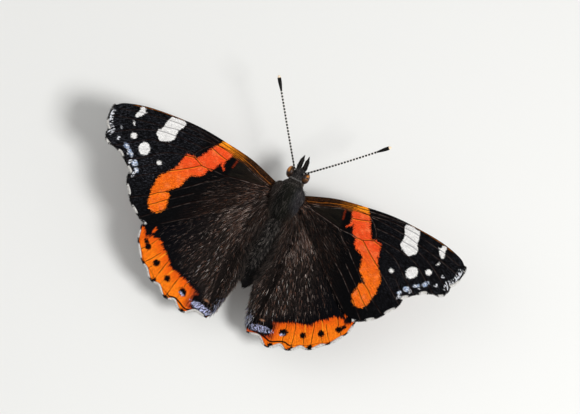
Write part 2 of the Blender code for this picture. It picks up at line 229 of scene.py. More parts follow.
def placeVector(tree, scale, uvMap=None):
    # object coordinates, or a piece's own UV map, stretched by the given scale
    if uvMap:
        source = tree.nodes.new("ShaderNodeUVMap")
        source.uv_map = uvMap
        start = source.outputs["UV"]
    else:
        source = tree.nodes.new("ShaderNodeTexCoord")
        start = source.outputs["Object"]
    mapping = tree.nodes.new("ShaderNodeMapping")
    mapping.inputs["Scale"].default_value = scale
    tree.links.new(start, mapping.inputs["Vector"])
    return mapping.outputs["Vector"]


def noiseValue(tree, vector, scale=1.0, detail=2.0, rough=0.5):
    node = tree.nodes.new("ShaderNodeTexNoise")
    tree.links.new(vector, node.inputs["Vector"])
    for name, setting in (("Scale", scale), ("Detail", detail), ("Roughness", rough)):
        node.inputs[name].default_value = setting
    return node.outputs["Fac"]


def addBump(tree, shader, height, strength, distance):
    node = tree.nodes.new("ShaderNodeBump")
    node.inputs["Strength"].default_value = strength
    node.inputs["Distance"].default_value = distance
    tree.links.new(height, node.inputs["Height"])
    tree.links.new(node.outputs["Normal"], shader.inputs["Normal"])


def newGroup(name, inputs, outputs):
    # a shader group with named sockets: inputs and outputs are (name, kind, value) and (name, kind)
    group = bpy.data.node_groups.new(name, "ShaderNodeTree")
    for socketName, kind, value in inputs:
        socket = group.interface.new_socket(socketName, in_out="INPUT", socket_type="NodeSocket" + kind)
        if value is not None:
            socket.default_value = value
    for socketName, kind in outputs:
        group.interface.new_socket(socketName, in_out="OUTPUT", socket_type="NodeSocket" + kind)
    return group, group.nodes.new("NodeGroupInput"), group.nodes.new("NodeGroupOutput")


def useGroup(tree, group, **values):
    node = tree.nodes.new("ShaderNodeGroup")
    node.node_tree = group
    for name, value in values.items():
        feed(tree, node.inputs[name], value)
    return node.outputs


def makeScaleGroup():
    # overlapping wing scales: a tint that differs from scale to scale, and their height
    group, start, end = newGroup("wingScales", [("Vector", "Vector", None)], [("Tint", "Float"), ("Height", "Float")])
    cells = group.nodes.new("ShaderNodeTexVoronoi")
    cells.inputs["Scale"].default_value = 1.0
    cells.inputs["Randomness"].default_value = 0.75
    group.links.new(start.outputs["Vector"], cells.inputs["Vector"])
    parts = group.nodes.new("ShaderNodeSeparateColor")
    group.links.new(cells.outputs["Color"], parts.inputs["Color"])
    group.links.new(parts.outputs[0], end.inputs["Tint"])
    height = calc(group, "SUBTRACT", parts.outputs[1], calc(group, "MULTIPLY", cells.outputs["Distance"], 1.6))
    group.links.new(height, end.inputs["Height"])
    return group


def makeRaggedGroup():
    # a marking whose edge wanders from scale to scale: Distance is how far inside the marking a point is
    inputs = [("Distance", "Float", 0.0), ("Tint", "Float", 0.5), ("Ragged", "Float", 0.2), ("Soft", "Float", 0.1)]
    group, start, end = newGroup("raggedMarking", inputs, [("Mask", "Float")])
    jitter = calc(group, "MULTIPLY", calc(group, "SUBTRACT", start.outputs["Tint"], 0.5), start.outputs["Ragged"])
    moved = calc(group, "ADD", start.outputs["Distance"], jitter)
    soft = start.outputs["Soft"]
    node = group.nodes.new("ShaderNodeMapRange")
    node.interpolation_type = "SMOOTHSTEP"
    group.links.new(moved, node.inputs["Value"])
    group.links.new(calc(group, "MULTIPLY", soft, -0.5), node.inputs["From Min"])
    group.links.new(calc(group, "MULTIPLY", soft, 0.5), node.inputs["From Max"])
    group.links.new(node.outputs["Result"], end.inputs["Mask"])
    return group


def makeLineGroup():
    # a thin line: Side is the signed distance from it, Near the plain one, Offset moves the line to one side
    inputs = [("Side", "Float", 0.0), ("Near", "Float", 1.0), ("Offset", "Float", 0.0), ("Half", "Float", 0.06)]
    group, start, end = newGroup("thinLine", inputs, [("Mask", "Float")])
    away = calc(group, "ABSOLUTE", calc(group, "SUBTRACT", start.outputs["Side"], start.outputs["Offset"]))
    half = start.outputs["Half"]
    core = fade(group, away, half, calc(group, "MULTIPLY", half, 0.45))
    reach = fade(group, start.outputs["Near"], 0.4, 0.3)
    group.links.new(calc(group, "MULTIPLY", core, reach), end.inputs["Mask"])
    return group


scaleGroup = makeScaleGroup()
raggedGroup = makeRaggedGroup()
lineGroup = makeLineGroup()
print("helpers ready")


# Camera, where the photographer stood: above the butterfly, a little behind it and to its right
cameraSettings = {
    "away": 350.0,                    # mm from the hinges
    "toward": (-0.0785, 0.2412, 0.9673),
    "roll": 26.0,                     # degrees, the body points up and to the right in the picture
    "across": (-0.9967, 0.0, -0.0808),
    "down": (0.0195, 0.9705, -0.2404),
    "shiftRight": 0.035,
    "shiftUp": -2.78,
    "lens": 126.0,
}


def makeCamera():
    cs = cameraSettings
    toward = Vector(cs["toward"]).normalized()
    roll = math.radians(cs["roll"])
    right = Vector(cs["across"]) * math.cos(roll) - Vector(cs["down"]) * math.sin(roll)
    up = -Vector(cs["across"]) * math.sin(roll) - Vector(cs["down"]) * math.cos(roll)
    right = (right - toward * right.dot(toward)).normalized()
    up = (up - toward * up.dot(toward) - right * up.dot(right)).normalized()
    place = Vector(hinge) + (right * cs["shiftRight"] + up * cs["shiftUp"] + toward * cs["away"]) * mm
    data = bpy.data.cameras.new("camera")
    data.lens = cs["lens"]
    data.sensor_width = 36.0
    data.clip_start = 0.01
    camera = bpy.data.objects.new("camera", data)
    bpy.context.scene.collection.objects.link(camera)
    turn = camera.matrix_world.to_3x3()
    for row in range(3):
        turn[row] = (right[row], up[row], toward[row])
    camera.matrix_world = turn.to_4x4()
    camera.location = place
    bpy.context.scene.camera = camera


makeCamera()
print("camera ready")


# Surfaces and coats
def toFrame(places):
    return hinge + np.asarray(places) * mm


def unit(vectors):
    return vectors / np.maximum(np.linalg.norm(vectors, axis=-1, keepdims=True), 1e-9)


def gridSurface(grid):
    # a surface read from a grid of places, where u runs along its second axis and v along its first
    def surface(u, v):
        rows, columns = grid.shape[0] - 1, grid.shape[1] - 1
        a, b = np.clip(v, 0, 1) * rows, np.clip(u, 0, 1) * columns
        i, j = np.minimum(a.astype(int), rows - 1), np.minimum(b.astype(int), columns - 1)
        a, b = (a - i)[:, None], (b - j)[:, None]
        low = grid[i, j] * (1 - b) + grid[i, j + 1] * b
        high = grid[i + 1, j] * (1 - b) + grid[i + 1, j + 1] * b
        return low * (1 - a) + high * a
    return surface


def tubeSurface(path, radii, squash=1.0):
    # a tube along a path; radii are (share, radius), and squash flattens it upwards
    path = np.array(path, float)
    run = unit(np.gradient(path, axis=0))
    side = np.zeros_like(run)
    side[0] = np.cross((0, 0, 1), run[0])
    for i in range(len(run)):
        turned = side[max(i - 1, 0)]
        side[i] = turned - run[i] * (turned @ run[i])
        side[i] /= np.linalg.norm(side[i])
    up = np.cross(run, side)
    shares, sizes = np.array(radii, float).T

    def surface(u, v):
        u = np.clip(u, 0, 1)
        radius = np.interp(u, shares, sizes)[:, None]
        turn = 2 * np.pi * v[:, None]
        return (alongPath(path, u) + radius * np.cos(turn) * alongPath(side, u)
                + radius * squash * np.sin(turn) * alongPath(up, u))
    return surface


def roundEnds(radii, start=0.02, end=0.02):
    # rounds off both ends of a list of radii
    (s0, r0), (s1, r1) = radii[0], radii[-1]
    first = [(start * (1 - math.cos(a)), r0 * math.sin(a)) for a in (0.0, 0.45, 0.9, 1.3)]
    last = [(1 - end * (1 - math.cos(a)), r1 * math.sin(a)) for a in (1.3, 0.9, 0.45, 0.0)]
    return first + [(max(start, s0), r0)] + list(radii[1:-1]) + [(min(1 - end, s1), r1)] + last


def wrapSurface(name, surface, along, around, ends=None):
    # a grid rolled into a closed tube or ball, with its seam and its ends merged
    bm = bmesh.new()
    bm.loops.layers.uv.new("flow")
    bmesh.ops.create_grid(bm, x_segments=along, y_segments=around, size=0.5, calc_uvs=True)
    grid = np.array([vert.co for vert in bm.verts])
    u, v = grid[:, 0] + 0.5, grid[:, 1] + 0.5
    layer = bm.verts.layers.float.new("along")
    for vert, place, share in zip(bm.verts, surface(ends(u) if ends else u, v), u):
        vert.co = place
        vert[layer] = share
    bmesh.ops.remove_doubles(bm, verts=bm.verts, dist=0.0005)
    bmesh.ops.dissolve_degenerate(bm, edges=bm.edges, dist=0.0001)
    bm.normal_update()
    bmesh.ops.recalc_face_normals(bm, faces=bm.faces)
    mesh = bpy.data.meshes.new(name)
    bm.to_mesh(mesh)
    bm.free()
    return mesh


def coatSpots(surface, count, density=None, flip=1):
    # roots for tufts, spread evenly over a surface and thinned out where density says so
    tries = count * 7
    u, v = dice.random(tries), dice.random(tries)
    step = 0.004
    places = surface(u, v)
    alongRun = surface(u + step, v) - surface(u - step, v)
    acrossRun = surface(u, v + step) - surface(u, v - step)
    normals = np.cross(alongRun, acrossRun) * flip
    weights = np.linalg.norm(normals, axis=1)
    weights = np.minimum(weights, np.percentile(weights, 99))
    if density is not None:
        weights = weights * density(places, u, v)
    count = min(count, int((weights > 0).sum()))
    chosen = dice.choice(tries, count, replace=False, p=weights / weights.sum())
    return {"place": places[chosen], "normal": unit(normals[chosen]), "u": u[chosen], "v": v[chosen],
            "along": unit(alongRun[chosen]), "across": unit(acrossRun[chosen])}


def layAlong(directions, normals):
    return unit(directions - normals * np.sum(directions * normals, axis=1)[:, None])


def tuftShape(cuts):
    # one flat, pointed tuft of hair, 1 high
    bm = bmesh.new()
    bmesh.ops.create_cone(bm, cap_ends=True, segments=3, radius1=1.0, radius2=0.0, depth=1.0)
    bmesh.ops.translate(bm, verts=bm.verts, vec=(0, 0, 0.5))
    bmesh.ops.remove_doubles(bm, verts=bm.verts, dist=0.001)
    for cut in cuts:
        bmesh.ops.bisect_plane(bm, geom=bm.verts[:] + bm.edges[:] + bm.faces[:], plane_co=(0, 0, cut),
                               plane_no=(0, 0, 1))
    for vert in bm.verts:
        fuller = 1 + 1.6 * vert.co.z * (1.15 - vert.co.z)
        vert.co.x *= fuller
        vert.co.y *= fuller
    bm.normal_update()
    bmesh.ops.recalc_face_normals(bm, faces=bm.faces)
    return bm


def spread(count, low, high):
    return low + (high - low) * dice.random(count)


def makeTufts(name, spots, directions, looks, colours, slot, replaced=(), cuts=(0.45,)):
    # joined tufts: looks holds length, width, thick, lift, droop and sway, each a number or an array
    count = len(spots["place"])
    bm = tuftShape(cuts)
    shape = bpy.data.meshes.new(name + "_tuft")
    bm.to_mesh(shape)
    bm.free()
    lone = bpy.data.objects.new(name + "_tuft", shape)
    bpy.context.scene.collection.objects.link(lone)
    repeat = lone.modifiers.new("Repeat", "ARRAY")
    repeat.count = count
    repeat.use_relative_offset = False
    repeat.use_constant_offset = True
    repeat.constant_offset_displace = (0, 0, 0)
    mesh = bpy.data.meshes.new_from_object(lone.evaluated_get(bpy.context.evaluated_depsgraph_get()))
    local = meshPlaces(shape)
    bpy.data.objects.remove(lone)
    mesh.name = name

    def each(key, usual):
        return np.broadcast_to(np.asarray(looks.get(key, usual), float), (count,))[:, None, None]
    length, width, thick = each("length", 1.0), each("width", 0.08), each("thick", 0.35)
    lift, droop, sway = each("lift", 0.2), each("droop", 0.1), each("sway", 0.0)
    normal = spots["normal"]
    run = layAlong(directions, normal)
    side = np.cross(normal, run)
    run, side, normal = run[:, None, :], side[:, None, :], normal[:, None, :]
    across, deep, high = (local[None, :, axis, None] for axis in range(3))
    root = spots["place"][:, None, :] - normal * coatDepth
    places = (root + run * length * high * np.cos(lift) + normal * length * (high * np.sin(lift) - droop * high ** 2)
              + side * (length * sway * high ** 2 + width / 2 * across) + normal * (width / 2 * thick * deep))
    setPlaces(mesh, toFrame(places.reshape(-1, 3)))
    # each tuft darker at its root than at its tip: painted shade deep in the coat
    shade = (0.62 + 0.5 * local[None, :, 2, None]) * colours[:, None, :]
    putColours(mesh, "coat", np.clip(shade, 0, 1).reshape(-1, 3))
    corners = np.zeros(len(mesh.loops), int)
    mesh.loops.foreach_get("vertex_index", corners)
    patch = np.stack([np.clip(spots["u"], 0.003, 0.997), np.clip(spots["v"], 0.003, 0.997)], axis=1)[:, None, :]
    patch = patch + np.stack([local[:, 0] * 0.0012, (local[:, 2] - 0.5) * 0.003], axis=1)[None]
    mesh.uv_layers.new(name="OFBake").data.foreach_set("uv", patch.reshape(-1, 2)[corners].ravel())
    return addPiece(name, mesh, [furFinish], slot, replaced)


def mixedColours(count, kinds, vary=0.25):
    # one colour for each tuft, drawn from (share, colour) and a little lighter or darker
    shares = np.array([share for share, _ in kinds], float)
    pick = dice.choice(len(kinds), count, p=shares / shares.sum())
    table = np.array([colour for _, colour in kinds])
    return table[pick] * spread(count, 1 - vary, 1 + vary)[:, None]


def makeFurFinish():
    material, tree, shader = newMaterial("coatHair")
    grain = noiseValue(tree, placeVector(tree, (1, 1, 1)), 5200.0, 2.0, 0.6)
    tint = fade(tree, grain, 0.25, 0.75, 0.8, 1.22)
    colour = blendColours(tree, 1.0, readValue(tree, "coat", "Color"), tint, "MULTIPLY")
    tree.links.new(colour, shader.inputs["Base Color"])
    tree.links.new(fade(tree, grain, 0.3, 0.7, 0.42, 0.6), shader.inputs["Roughness"])
    shader.inputs["Specular IOR Level"].default_value = 0.16
    return material


coatDepth = 0.03                      # mm, how far each tuft is sunk at its root
furFinish = makeFurFinish()
print("coat tools ready")


# Wings. Outlines, veins and markings are flat, in mm, for the left wing, and the right wing mirrors them.
bend = {                              # how the open wings curve, as the solids do
    "hingeOut": 2.92, "rise": 0.19, "tipDroop": 0.0018, "chordCentre": 7.0, "chordDroop": 0.005,
    "rearStart": 8.0, "rearDroop": 0.004, "hindBelow": 1.25, "creaseX": 3.9, "creaseWidth": 1.1,
    "creaseDepth": 0.6, "creaseStart": 3.0, "creaseRamp": 5.0, "flapRise": 0.22,
}
blade = {
    "thickness": 0.12, "veinHeight": 0.05, "veinWidth": 0.15, "sag": 0.13, "sagReach": 0.9,
    "foreLower": 0.12, "hindHigher": 0.17,   # the thin blades lie close together inside the thicker solids
    "sheetEnd": 0.988,                       # the fringe takes the rest
    "foreRearLower": 0.34, "hindFrontHigher": 0.14,
}
foreWing = {
    "name": "forewing", "along": 250, "across": 165,
    "root": [(1.5, -0.1), (1.5, 1.4)],
    "costa": [(1.5, -0.1), (3.1, -0.6), (8.0, -2.1), (13.2, -2.75), (18.2, -3.1), (23.4, -2.8), (28.0, -2.15),
              (31.6, -0.98), (33.1, 0.25)],
    "margin": [(33.1, 0.25), (33.35, 2.0), (32.8, 3.7), (32.1, 4.5), (32.35, 5.5), (31.5, 6.5), (30.0, 6.9),
               (28.6, 7.1), (27.3, 8.3), (25.6, 9.4), (25.7, 10.9), (24.3, 12.6), (23.6, 14.0),
               (22.1, 14.9), (20.9, 15.9), (19.5, 16.15)],
    "inner": [(1.5, 1.4), (3.2, 2.1), (6.0, 5.0), (10.7, 9.8), (15.1, 13.8), (16.8, 15.3), (18.3, 15.95),
              (19.5, 16.15)],
    "tips": [(33.3, 2.2), (32.3, 5.5), (30.2, 6.9), (27.3, 8.3), (25.8, 10.9), (23.6, 14.0), (20.9, 15.9)],
    "span": {"left": 1.008, "right": 0.992},
    "reach": {"left": 1.0, "right": 1.0},
    "shift": {"left": (0.0, 0.0), "right": (0.0, 0.0)},
}
hindWing = {
    "name": "hindwing", "along": 200, "across": 200,
    "root": [(1.3, 1.4), (1.3, 4.4)],
    "costa": [(1.3, 1.4), (3.0, 0.8), (5.2, 1.7), (7.8, 3.4), (12.5, 6.9), (16.8, 10.9), (19.3, 14.2), (20.0, 16.3)],
    "margin": [(20.0, 16.3), (19.75, 17.7), (19.4, 19.2), (18.6, 20.2), (17.4, 21.9), (16.2, 22.5),
               (14.8, 24.0), (13.2, 24.0), (11.5, 25.5), (9.9, 25.0), (8.0, 26.3), (6.1, 25.0), (3.7, 25.2)],
    "inner": [(1.3, 4.4), (1.4, 5.6), (1.65, 7.2), (2.05, 9.4), (2.2, 12.0), (1.8, 14.6), (1.4, 16.4), (1.5, 17.9), (2.0, 20.3),
              (2.7, 23.3), (3.7, 25.2)],
    "tips": [(19.9, 17.0), (19.4, 19.3), (17.4, 21.9), (14.8, 24.0), (11.5, 25.5), (8.0, 26.3), (3.8, 25.2)],
    "span": {"left": 1.008, "right": 0.992},
    "reach": {"left": 1.015, "right": 0.985},
    "shift": {"left": (-0.25, 0.17), "right": (0.25, -0.17)},   # the markings sit a little apart on the two wings
}
foreVeins = {
    "subcosta": [(3.5, 0.1), (5.0, -0.3), (7.0, -0.95), (9.0, -1.5), (11.0, -1.95), (13.0, -2.2), (16.5, -2.6),
                 (20.5, -2.8)],
    "radius": [(4.0, 0.45), (6.3, 0.0), (7.5, -0.5), (9.0, -0.95), (11.3, -1.5), (13.0, -1.65), (14.6, -1.55),
               (17.0, -1.4), (21.2, -0.9), (24.0, -0.25), (28.5, 0.75), (33.2, 2.2)],
    "radiusFront": [(14.0, -1.62), (18.0, -2.1), (20.8, -2.0), (23.7, -1.7), (28.3, -0.75), (31.9, 0.3)],
    "cellFold": [(12.0, 0.05), (13.0, -0.12), (14.2, -0.45), (14.95, -0.65)],
    "cellEnd": [(14.6, -1.5), (16.0, -0.4), (16.9, 0.9), (17.2, 1.7), (17.0, 2.3), (16.4, 2.5), (15.3, 3.03)],
    "media1": [(16.2, 0.0), (19.0, 0.1), (21.4, 0.35), (24.5, 0.9), (28.2, 2.6), (32.3, 5.5)],
    "media2": [(17.2, 1.6), (21.0, 2.0), (24.6, 2.8), (26.5, 4.0), (30.2, 6.9)],
    "media3": [(17.0, 2.3), (20.0, 3.1), (22.0, 4.0), (24.6, 6.2), (27.3, 8.3)],
    "cubitus": [(3.6, 1.0), (5.0, 1.35), (7.0, 1.75), (9.0, 2.2), (11.0, 2.65), (13.2, 2.75), (14.1, 3.0),
                (15.3, 3.05), (16.4, 3.95), (17.5, 4.8), (19.0, 5.9), (21.5, 7.7), (25.8, 10.9)],
    "cubitus2": [(10.6, 2.65), (12.0, 4.1), (13.0, 4.9), (14.0, 5.7), (15.0, 6.7), (16.5, 8.05), (17.9, 9.3),
                 (18.8, 10.0), (19.8, 10.65), (21.1, 11.8), (23.7, 13.5)],
    "anal": [(3.5, 1.4), (5.0, 2.3), (6.1, 3.2), (7.0, 4.2), (8.0, 5.1), (10.0, 6.35), (12.0, 7.9), (14.0, 9.4),
             (16.0, 11.2), (18.4, 13.5), (20.9, 15.9)],
    "fold": [(14.5, 8.0), (16.2, 9.5), (18.05, 11.1), (19.55, 12.55), (21.0, 13.7)],
}
hindVeins = {
    "subcosta": [(3.6, 2.6), (8.5, 6.0), (13.5, 10.4), (19.9, 16.9)],
    "radius": [(3.8, 3.2), (7.0, 6.6), (11.0, 10.6), (15.5, 15.2), (19.4, 19.3)],
    "media1": [(8.6, 8.2), (12.0, 14.0), (15.2, 18.8), (17.4, 21.9)],
    "media2": [(8.9, 11.2), (11.6, 16.6), (14.8, 24.0)],
    "cubitus": [(3.7, 3.8), (6.6, 9.8), (8.2, 14.0), (10.0, 19.4), (11.5, 25.5)],
    "cubitus2": [(6.4, 9.3), (6.9, 14.5), (7.4, 20.0), (8.0, 26.3)],
    "cellEnd": [(8.6, 8.2), (8.9, 11.2), (8.2, 14.0)],
    "anal": [(3.4, 4.6), (4.4, 10.0), (4.9, 15.0), (4.6, 20.0), (3.9, 25.0)],
}
foreMarks = {
    "band": [(13.0, -2.9), (13.5, -2.85), (14.1, -2.1), (14.4, -1.7), (14.9, -0.75), (15.4, 0.2), (16.0, 1.3),
             (16.5, 2.3), (16.9, 2.2), (17.6, 2.15), (18.3, 2.4), (18.6, 3.3), (18.75, 4.4), (19.0, 5.3), (19.9, 6.75),
             (20.5, 7.4), (20.85, 8.0), (21.05, 8.8), (20.95, 9.6), (21.15, 10.3), (20.95, 11.1), (20.65, 12.8),
             (20.2, 13.5), (19.5, 13.9), (18.6, 13.85), (18.0, 13.25), (17.6, 12.6), (17.6, 11.9), (17.8, 11.0),
             (17.85, 10.3), (18.1, 9.95), (18.65, 9.8), (18.2, 9.25), (17.6, 8.6), (17.0, 8.1), (16.85, 7.4),
             (16.4, 5.9), (16.1, 5.4), (15.3, 5.0), (14.75, 4.8), (14.25, 4.2), (14.1, 3.5), (13.9, 3.05),
             (13.4, 2.8), (13.05, 2.2), (12.8, 1.4), (12.5, 0.95), (12.05, 0.9), (11.95, 0.25), (11.65, -0.5),
             (11.4, -1.3), (11.5, -1.9)],
    "spur": [(12.5, 0.75), (12.1, 1.1), (11.6, 1.95), (11.95, 1.75), (12.45, 1.2)],
    "ember": [(10.15, -1.0), (10.32, -0.95), (10.48, -0.1), (10.62, 0.75), (10.42, 0.85), (10.24, 0.0)],
    "bar": [(20.85, -2.6), (21.4, -2.78), (22.8, -2.65), (23.6, -2.3), (23.9, -1.2), (24.0, -0.5), (24.2, 0.2),
            (24.55, 0.6), (24.6, 1.3), (24.2, 1.8), (23.5, 2.4), (22.5, 2.05), (21.8, 1.6), (21.4, 0.95),
            (21.4, 0.3), (21.45, -0.5), (21.1, -1.3), (20.8, -2.0)],
    "tipSpot": [(28.0, -1.7), (28.6, -1.85), (28.95, -1.5), (28.9, -0.9), (29.05, -0.3), (29.2, 0.3), (28.7, 0.4),
                (28.15, -0.1), (27.8, -0.8), (27.5, -1.05), (28.0, -1.25)],
    "spots": [(21.9, 5.9, 0.46, 0.4, 0), (25.2, 4.85, 1.0, 1.2, 20), (27.78, 3.6, 0.58, 0.56, 0),
              (28.7, 1.55, 0.22, 0.44, 32)],
    "blue": [(28.1, 5.75, 0.62, 0.34, -35), (26.9, 6.6, 0.62, 0.36, -38), (25.5, 7.9, 0.5, 0.42, -42),
             (24.75, 8.75, 0.5, 0.3, -42)],
    "frost": [(29.9, 5.1, 0.4, 0.26, -30), (30.3, 3.3, 0.26, 0.2, -35), (27.35, 6.75, 0.26, 0.34, 0),
              (26.2, 8.1, 0.3, 0.4, 0), (24.9, 9.6, 0.25, 0.5, 0)],
    "cell": [(4.0, 0.5), (7.0, -0.55), (10.2, -1.15), (10.4, 0.5), (10.6, 2.5), (8.5, 2.1), (6.0, 1.6)],
}
foreLines = {
    "ink": [
        [(5.0, 0.0), (6.0, -0.2), (8.0, -0.95), (10.0, -1.5), (12.0, -1.88)],
        [(5.0, 0.6), (7.0, 0.02), (9.0, -0.72), (11.0, -1.2), (12.2, -1.42), (14.2, -1.58)],
        [(9.3, 8.3), (11.0, 9.9), (13.0, 11.7), (14.8, 13.2), (17.0, 15.0)],
        [(22.2, 6.3), (23.1, 6.9), (24.0, 7.7), (25.4, 9.1)],
    ],
    "gold": [
        [(3.5, 0.3), (5.0, -0.15), (6.0, -0.42), (7.0, -0.88), (9.0, -1.43), (11.0, -1.9), (13.0, -2.15)],
        [(4.0, 0.45), (5.0, 0.28), (6.3, -0.02), (7.5, -0.48), (9.0, -0.95), (10.0, -1.28), (11.3, -1.5), (13.0, -1.65)],
        [(21.5, -2.86), (23.0, -2.76), (25.0, -2.5), (27.5, -2.07), (30.0, -1.42)],
    ],
}
hindMarks = {
    "band": [(6.5, 22.3), (7.2, 21.75), (8.2, 21.45), (9.2, 21.0), (10.3, 20.6), (11.7, 20.25), (12.85, 20.1),
             (13.1, 19.75), (13.25, 19.3), (13.8, 18.9), (14.7, 18.25), (15.3, 17.75), (15.8, 17.15), (16.4, 16.85),
             (17.2, 16.85), (17.9, 16.8), (18.3, 17.2), (18.6, 17.2), (18.95, 16.85), (19.2, 16.35), (19.6, 16.2),
             (20.8, 16.2), (20.9, 19.0), (18.9, 22.2), (15.6, 25.4), (12.0, 27.2), (8.0, 27.8), (5.0, 26.6),
             (3.0, 25.6), (3.4, 24.5), (5.0, 24.5), (6.4, 24.6), (7.0, 24.2), (6.75, 23.4)],
    "streak": [(17.65, 15.75), (17.9, 15.8), (18.1, 16.3), (18.05, 16.6), (17.75, 16.45)],
    "spots": [(9.3, 23.05, 0.66, 0.5, -25), (12.58, 22.2, 0.43, 0.43, 0), (15.3, 20.75, 0.48, 0.45, 20),
              (17.75, 18.95, 0.44, 0.42, 0), (18.3, 18.35, 0.45, 0.25, -50),
              (8.1, 25.9, 0.4, 0.34, 0), (11.65, 25.15, 0.42, 0.34, 0), (14.45, 23.7, 0.3, 0.48, 20),
              (17.4, 21.85, 0.28, 0.38, 30)],
    "blueEyes": [(9.25, 23.45, 0.17, 0.08, -25)],
    "violet": [(5.5, 23.92, 1.5, 0.43, -5), (4.15, 24.15, 0.5, 0.32, 10)],
    "soot": [(4.75, 23.05, 1.15, 0.3, 5), (6.9, 23.4, 0.35, 0.8, 10)],
    "fleck": [(5.05, 22.5, 0.24, 0.11, 0)],
}
hindLines = {
    "rim": [
        [(3.6, 24.6), (5.1, 24.7), (6.1, 24.85), (6.9, 25.05), (7.6, 25.3), (8.2, 25.2), (8.9, 24.85), (9.65, 24.55),
         (10.3, 24.45), (11.05, 24.65), (11.65, 24.4)],
        [(11.65, 24.4), (12.6, 24.0), (13.4, 23.7), (14.3, 23.3), (15.6, 22.3), (16.4, 22.0), (17.3, 21.4),
         (18.2, 20.3), (19.0, 19.6), (19.5, 18.4)],
    ],
    "ink": [
        [(8.9, 21.1), (9.4, 21.9), (9.3, 22.8)], [(9.5, 23.4), (9.9, 24.8)],
        [(10.3, 20.4), (10.8, 21.3), (11.3, 23.4), (11.6, 25.0)], [(12.9, 22.5), (13.4, 23.7)],
        [(13.4, 19.3), (13.7, 20.0), (14.2, 22.0), (14.6, 23.6)], [(15.5, 21.1), (16.4, 22.4)],
        [(16.6, 16.9), (17.0, 17.6), (17.4, 18.3)], [(18.1, 19.2), (18.9, 20.1)],
        [(15.4, 19.0), (16.4, 20.5), (17.4, 21.7)], [(7.3, 21.8), (7.6, 23.5), (7.9, 25.2)],
    ],
    "gold": [[(12.2, 20.4), (12.5, 21.1), (12.7, 21.5)], [(14.3, 18.3), (14.9, 19.3), (15.4, 20.2)]],
}


def foreHeight(x, y):
    out = x - bend["hingeOut"]
    return bend["rise"] * out - bend["tipDroop"] * out * np.abs(out) - bend["chordDroop"] * (y - bend["chordCentre"]) ** 2


def hindHeight(x, y):
    rear = np.maximum(0, y - bend["rearStart"])
    ramp = np.clip((y - bend["creaseStart"]) / bend["creaseRamp"], 0, 1)
    crease = bend["creaseDepth"] * np.exp(-((x - bend["creaseX"]) / bend["creaseWidth"]) ** 2)
    flap = bend["flapRise"] * np.maximum(0, bend["creaseX"] - x)
    return foreHeight(x, y) - bend["hindBelow"] - bend["rearDroop"] * rear ** 2 + ramp * (flap - crease)


def preparePaths(wing):
    # the four edges as even paths, and the outer margin without its scallops
    for edge in ("root", "costa", "margin", "inner"):
        wing[edge + "Path"] = smoothPath(wing[edge], 260)
    plain = wing["marginPath"].copy()
    for _ in range(1500):
        plain[1:-1] = (plain[:-2] + plain[2:]) / 2
    wing["plainPath"] = plain
    u, v = np.meshgrid(np.linspace(0, 1, wing["along"] + 1), np.linspace(0, 1, wing["across"] + 1))
    wing["flat"] = flatBlade(wing, u.ravel() * blade["sheetEnd"], v.ravel())
    veins = foreVeins if wing is foreWing else hindVeins
    wing["near"], wing["side"] = lineField(wing["flat"], veins.values())
    wing["share"] = v.ravel()


def flatBlade(wing, u, v):
    # u runs from the root to the outer margin, v from the front edge to the rear one
    u, v = u[:, None], v[:, None]
    front, rear = alongPath(wing["costaPath"], u[:, 0]), alongPath(wing["innerPath"], u[:, 0])
    root, rim = alongPath(wing["rootPath"], v[:, 0]), alongPath(wing["plainPath"], v[:, 0])
    r0, r1, m0, m1 = (wing[path][end] for path in ("rootPath", "plainPath") for end in (0, -1))
    corners = (1 - u) * (1 - v) * r0 + (1 - u) * v * r1 + u * (1 - v) * m0 + u * v * m1
    scallop = (alongPath(wing["marginPath"], v[:, 0]) - rim) * smoothStep(u, 0.82, 1.0)
    return (1 - v) * front + v * rear + (1 - u) * root + u * rim - corners + scallop


def raiseBlade(wing, side):
    # sets the flat grid on the bent blade, in mm
    root, flat = wing["root"][0], wing["flat"]
    x = root[0] + (flat[:, 0] - root[0]) * wing["span"][side]
    y = root[1] + (flat[:, 1] - root[1]) * wing["reach"][side]
    relief = blade["veinHeight"] * np.exp(-(wing["near"] / blade["veinWidth"]) ** 2)
    relief -= blade["sag"] * (1 - np.exp(-(wing["near"] / blade["sagReach"]) ** 2))
    if wing is foreWing:
        z = foreHeight(x, y) - blade["foreLower"] + relief
        z -= blade["foreRearLower"] * smoothStep(wing["share"], 0.5, 0.95)
    else:
        z = hindHeight(x, y) + blade["hindHigher"] + relief
        z += blade["hindFrontHigher"] * smoothStep(wing["share"], 0.5, 0.05)
    return np.stack([x * sides[side], y, z], axis=1)


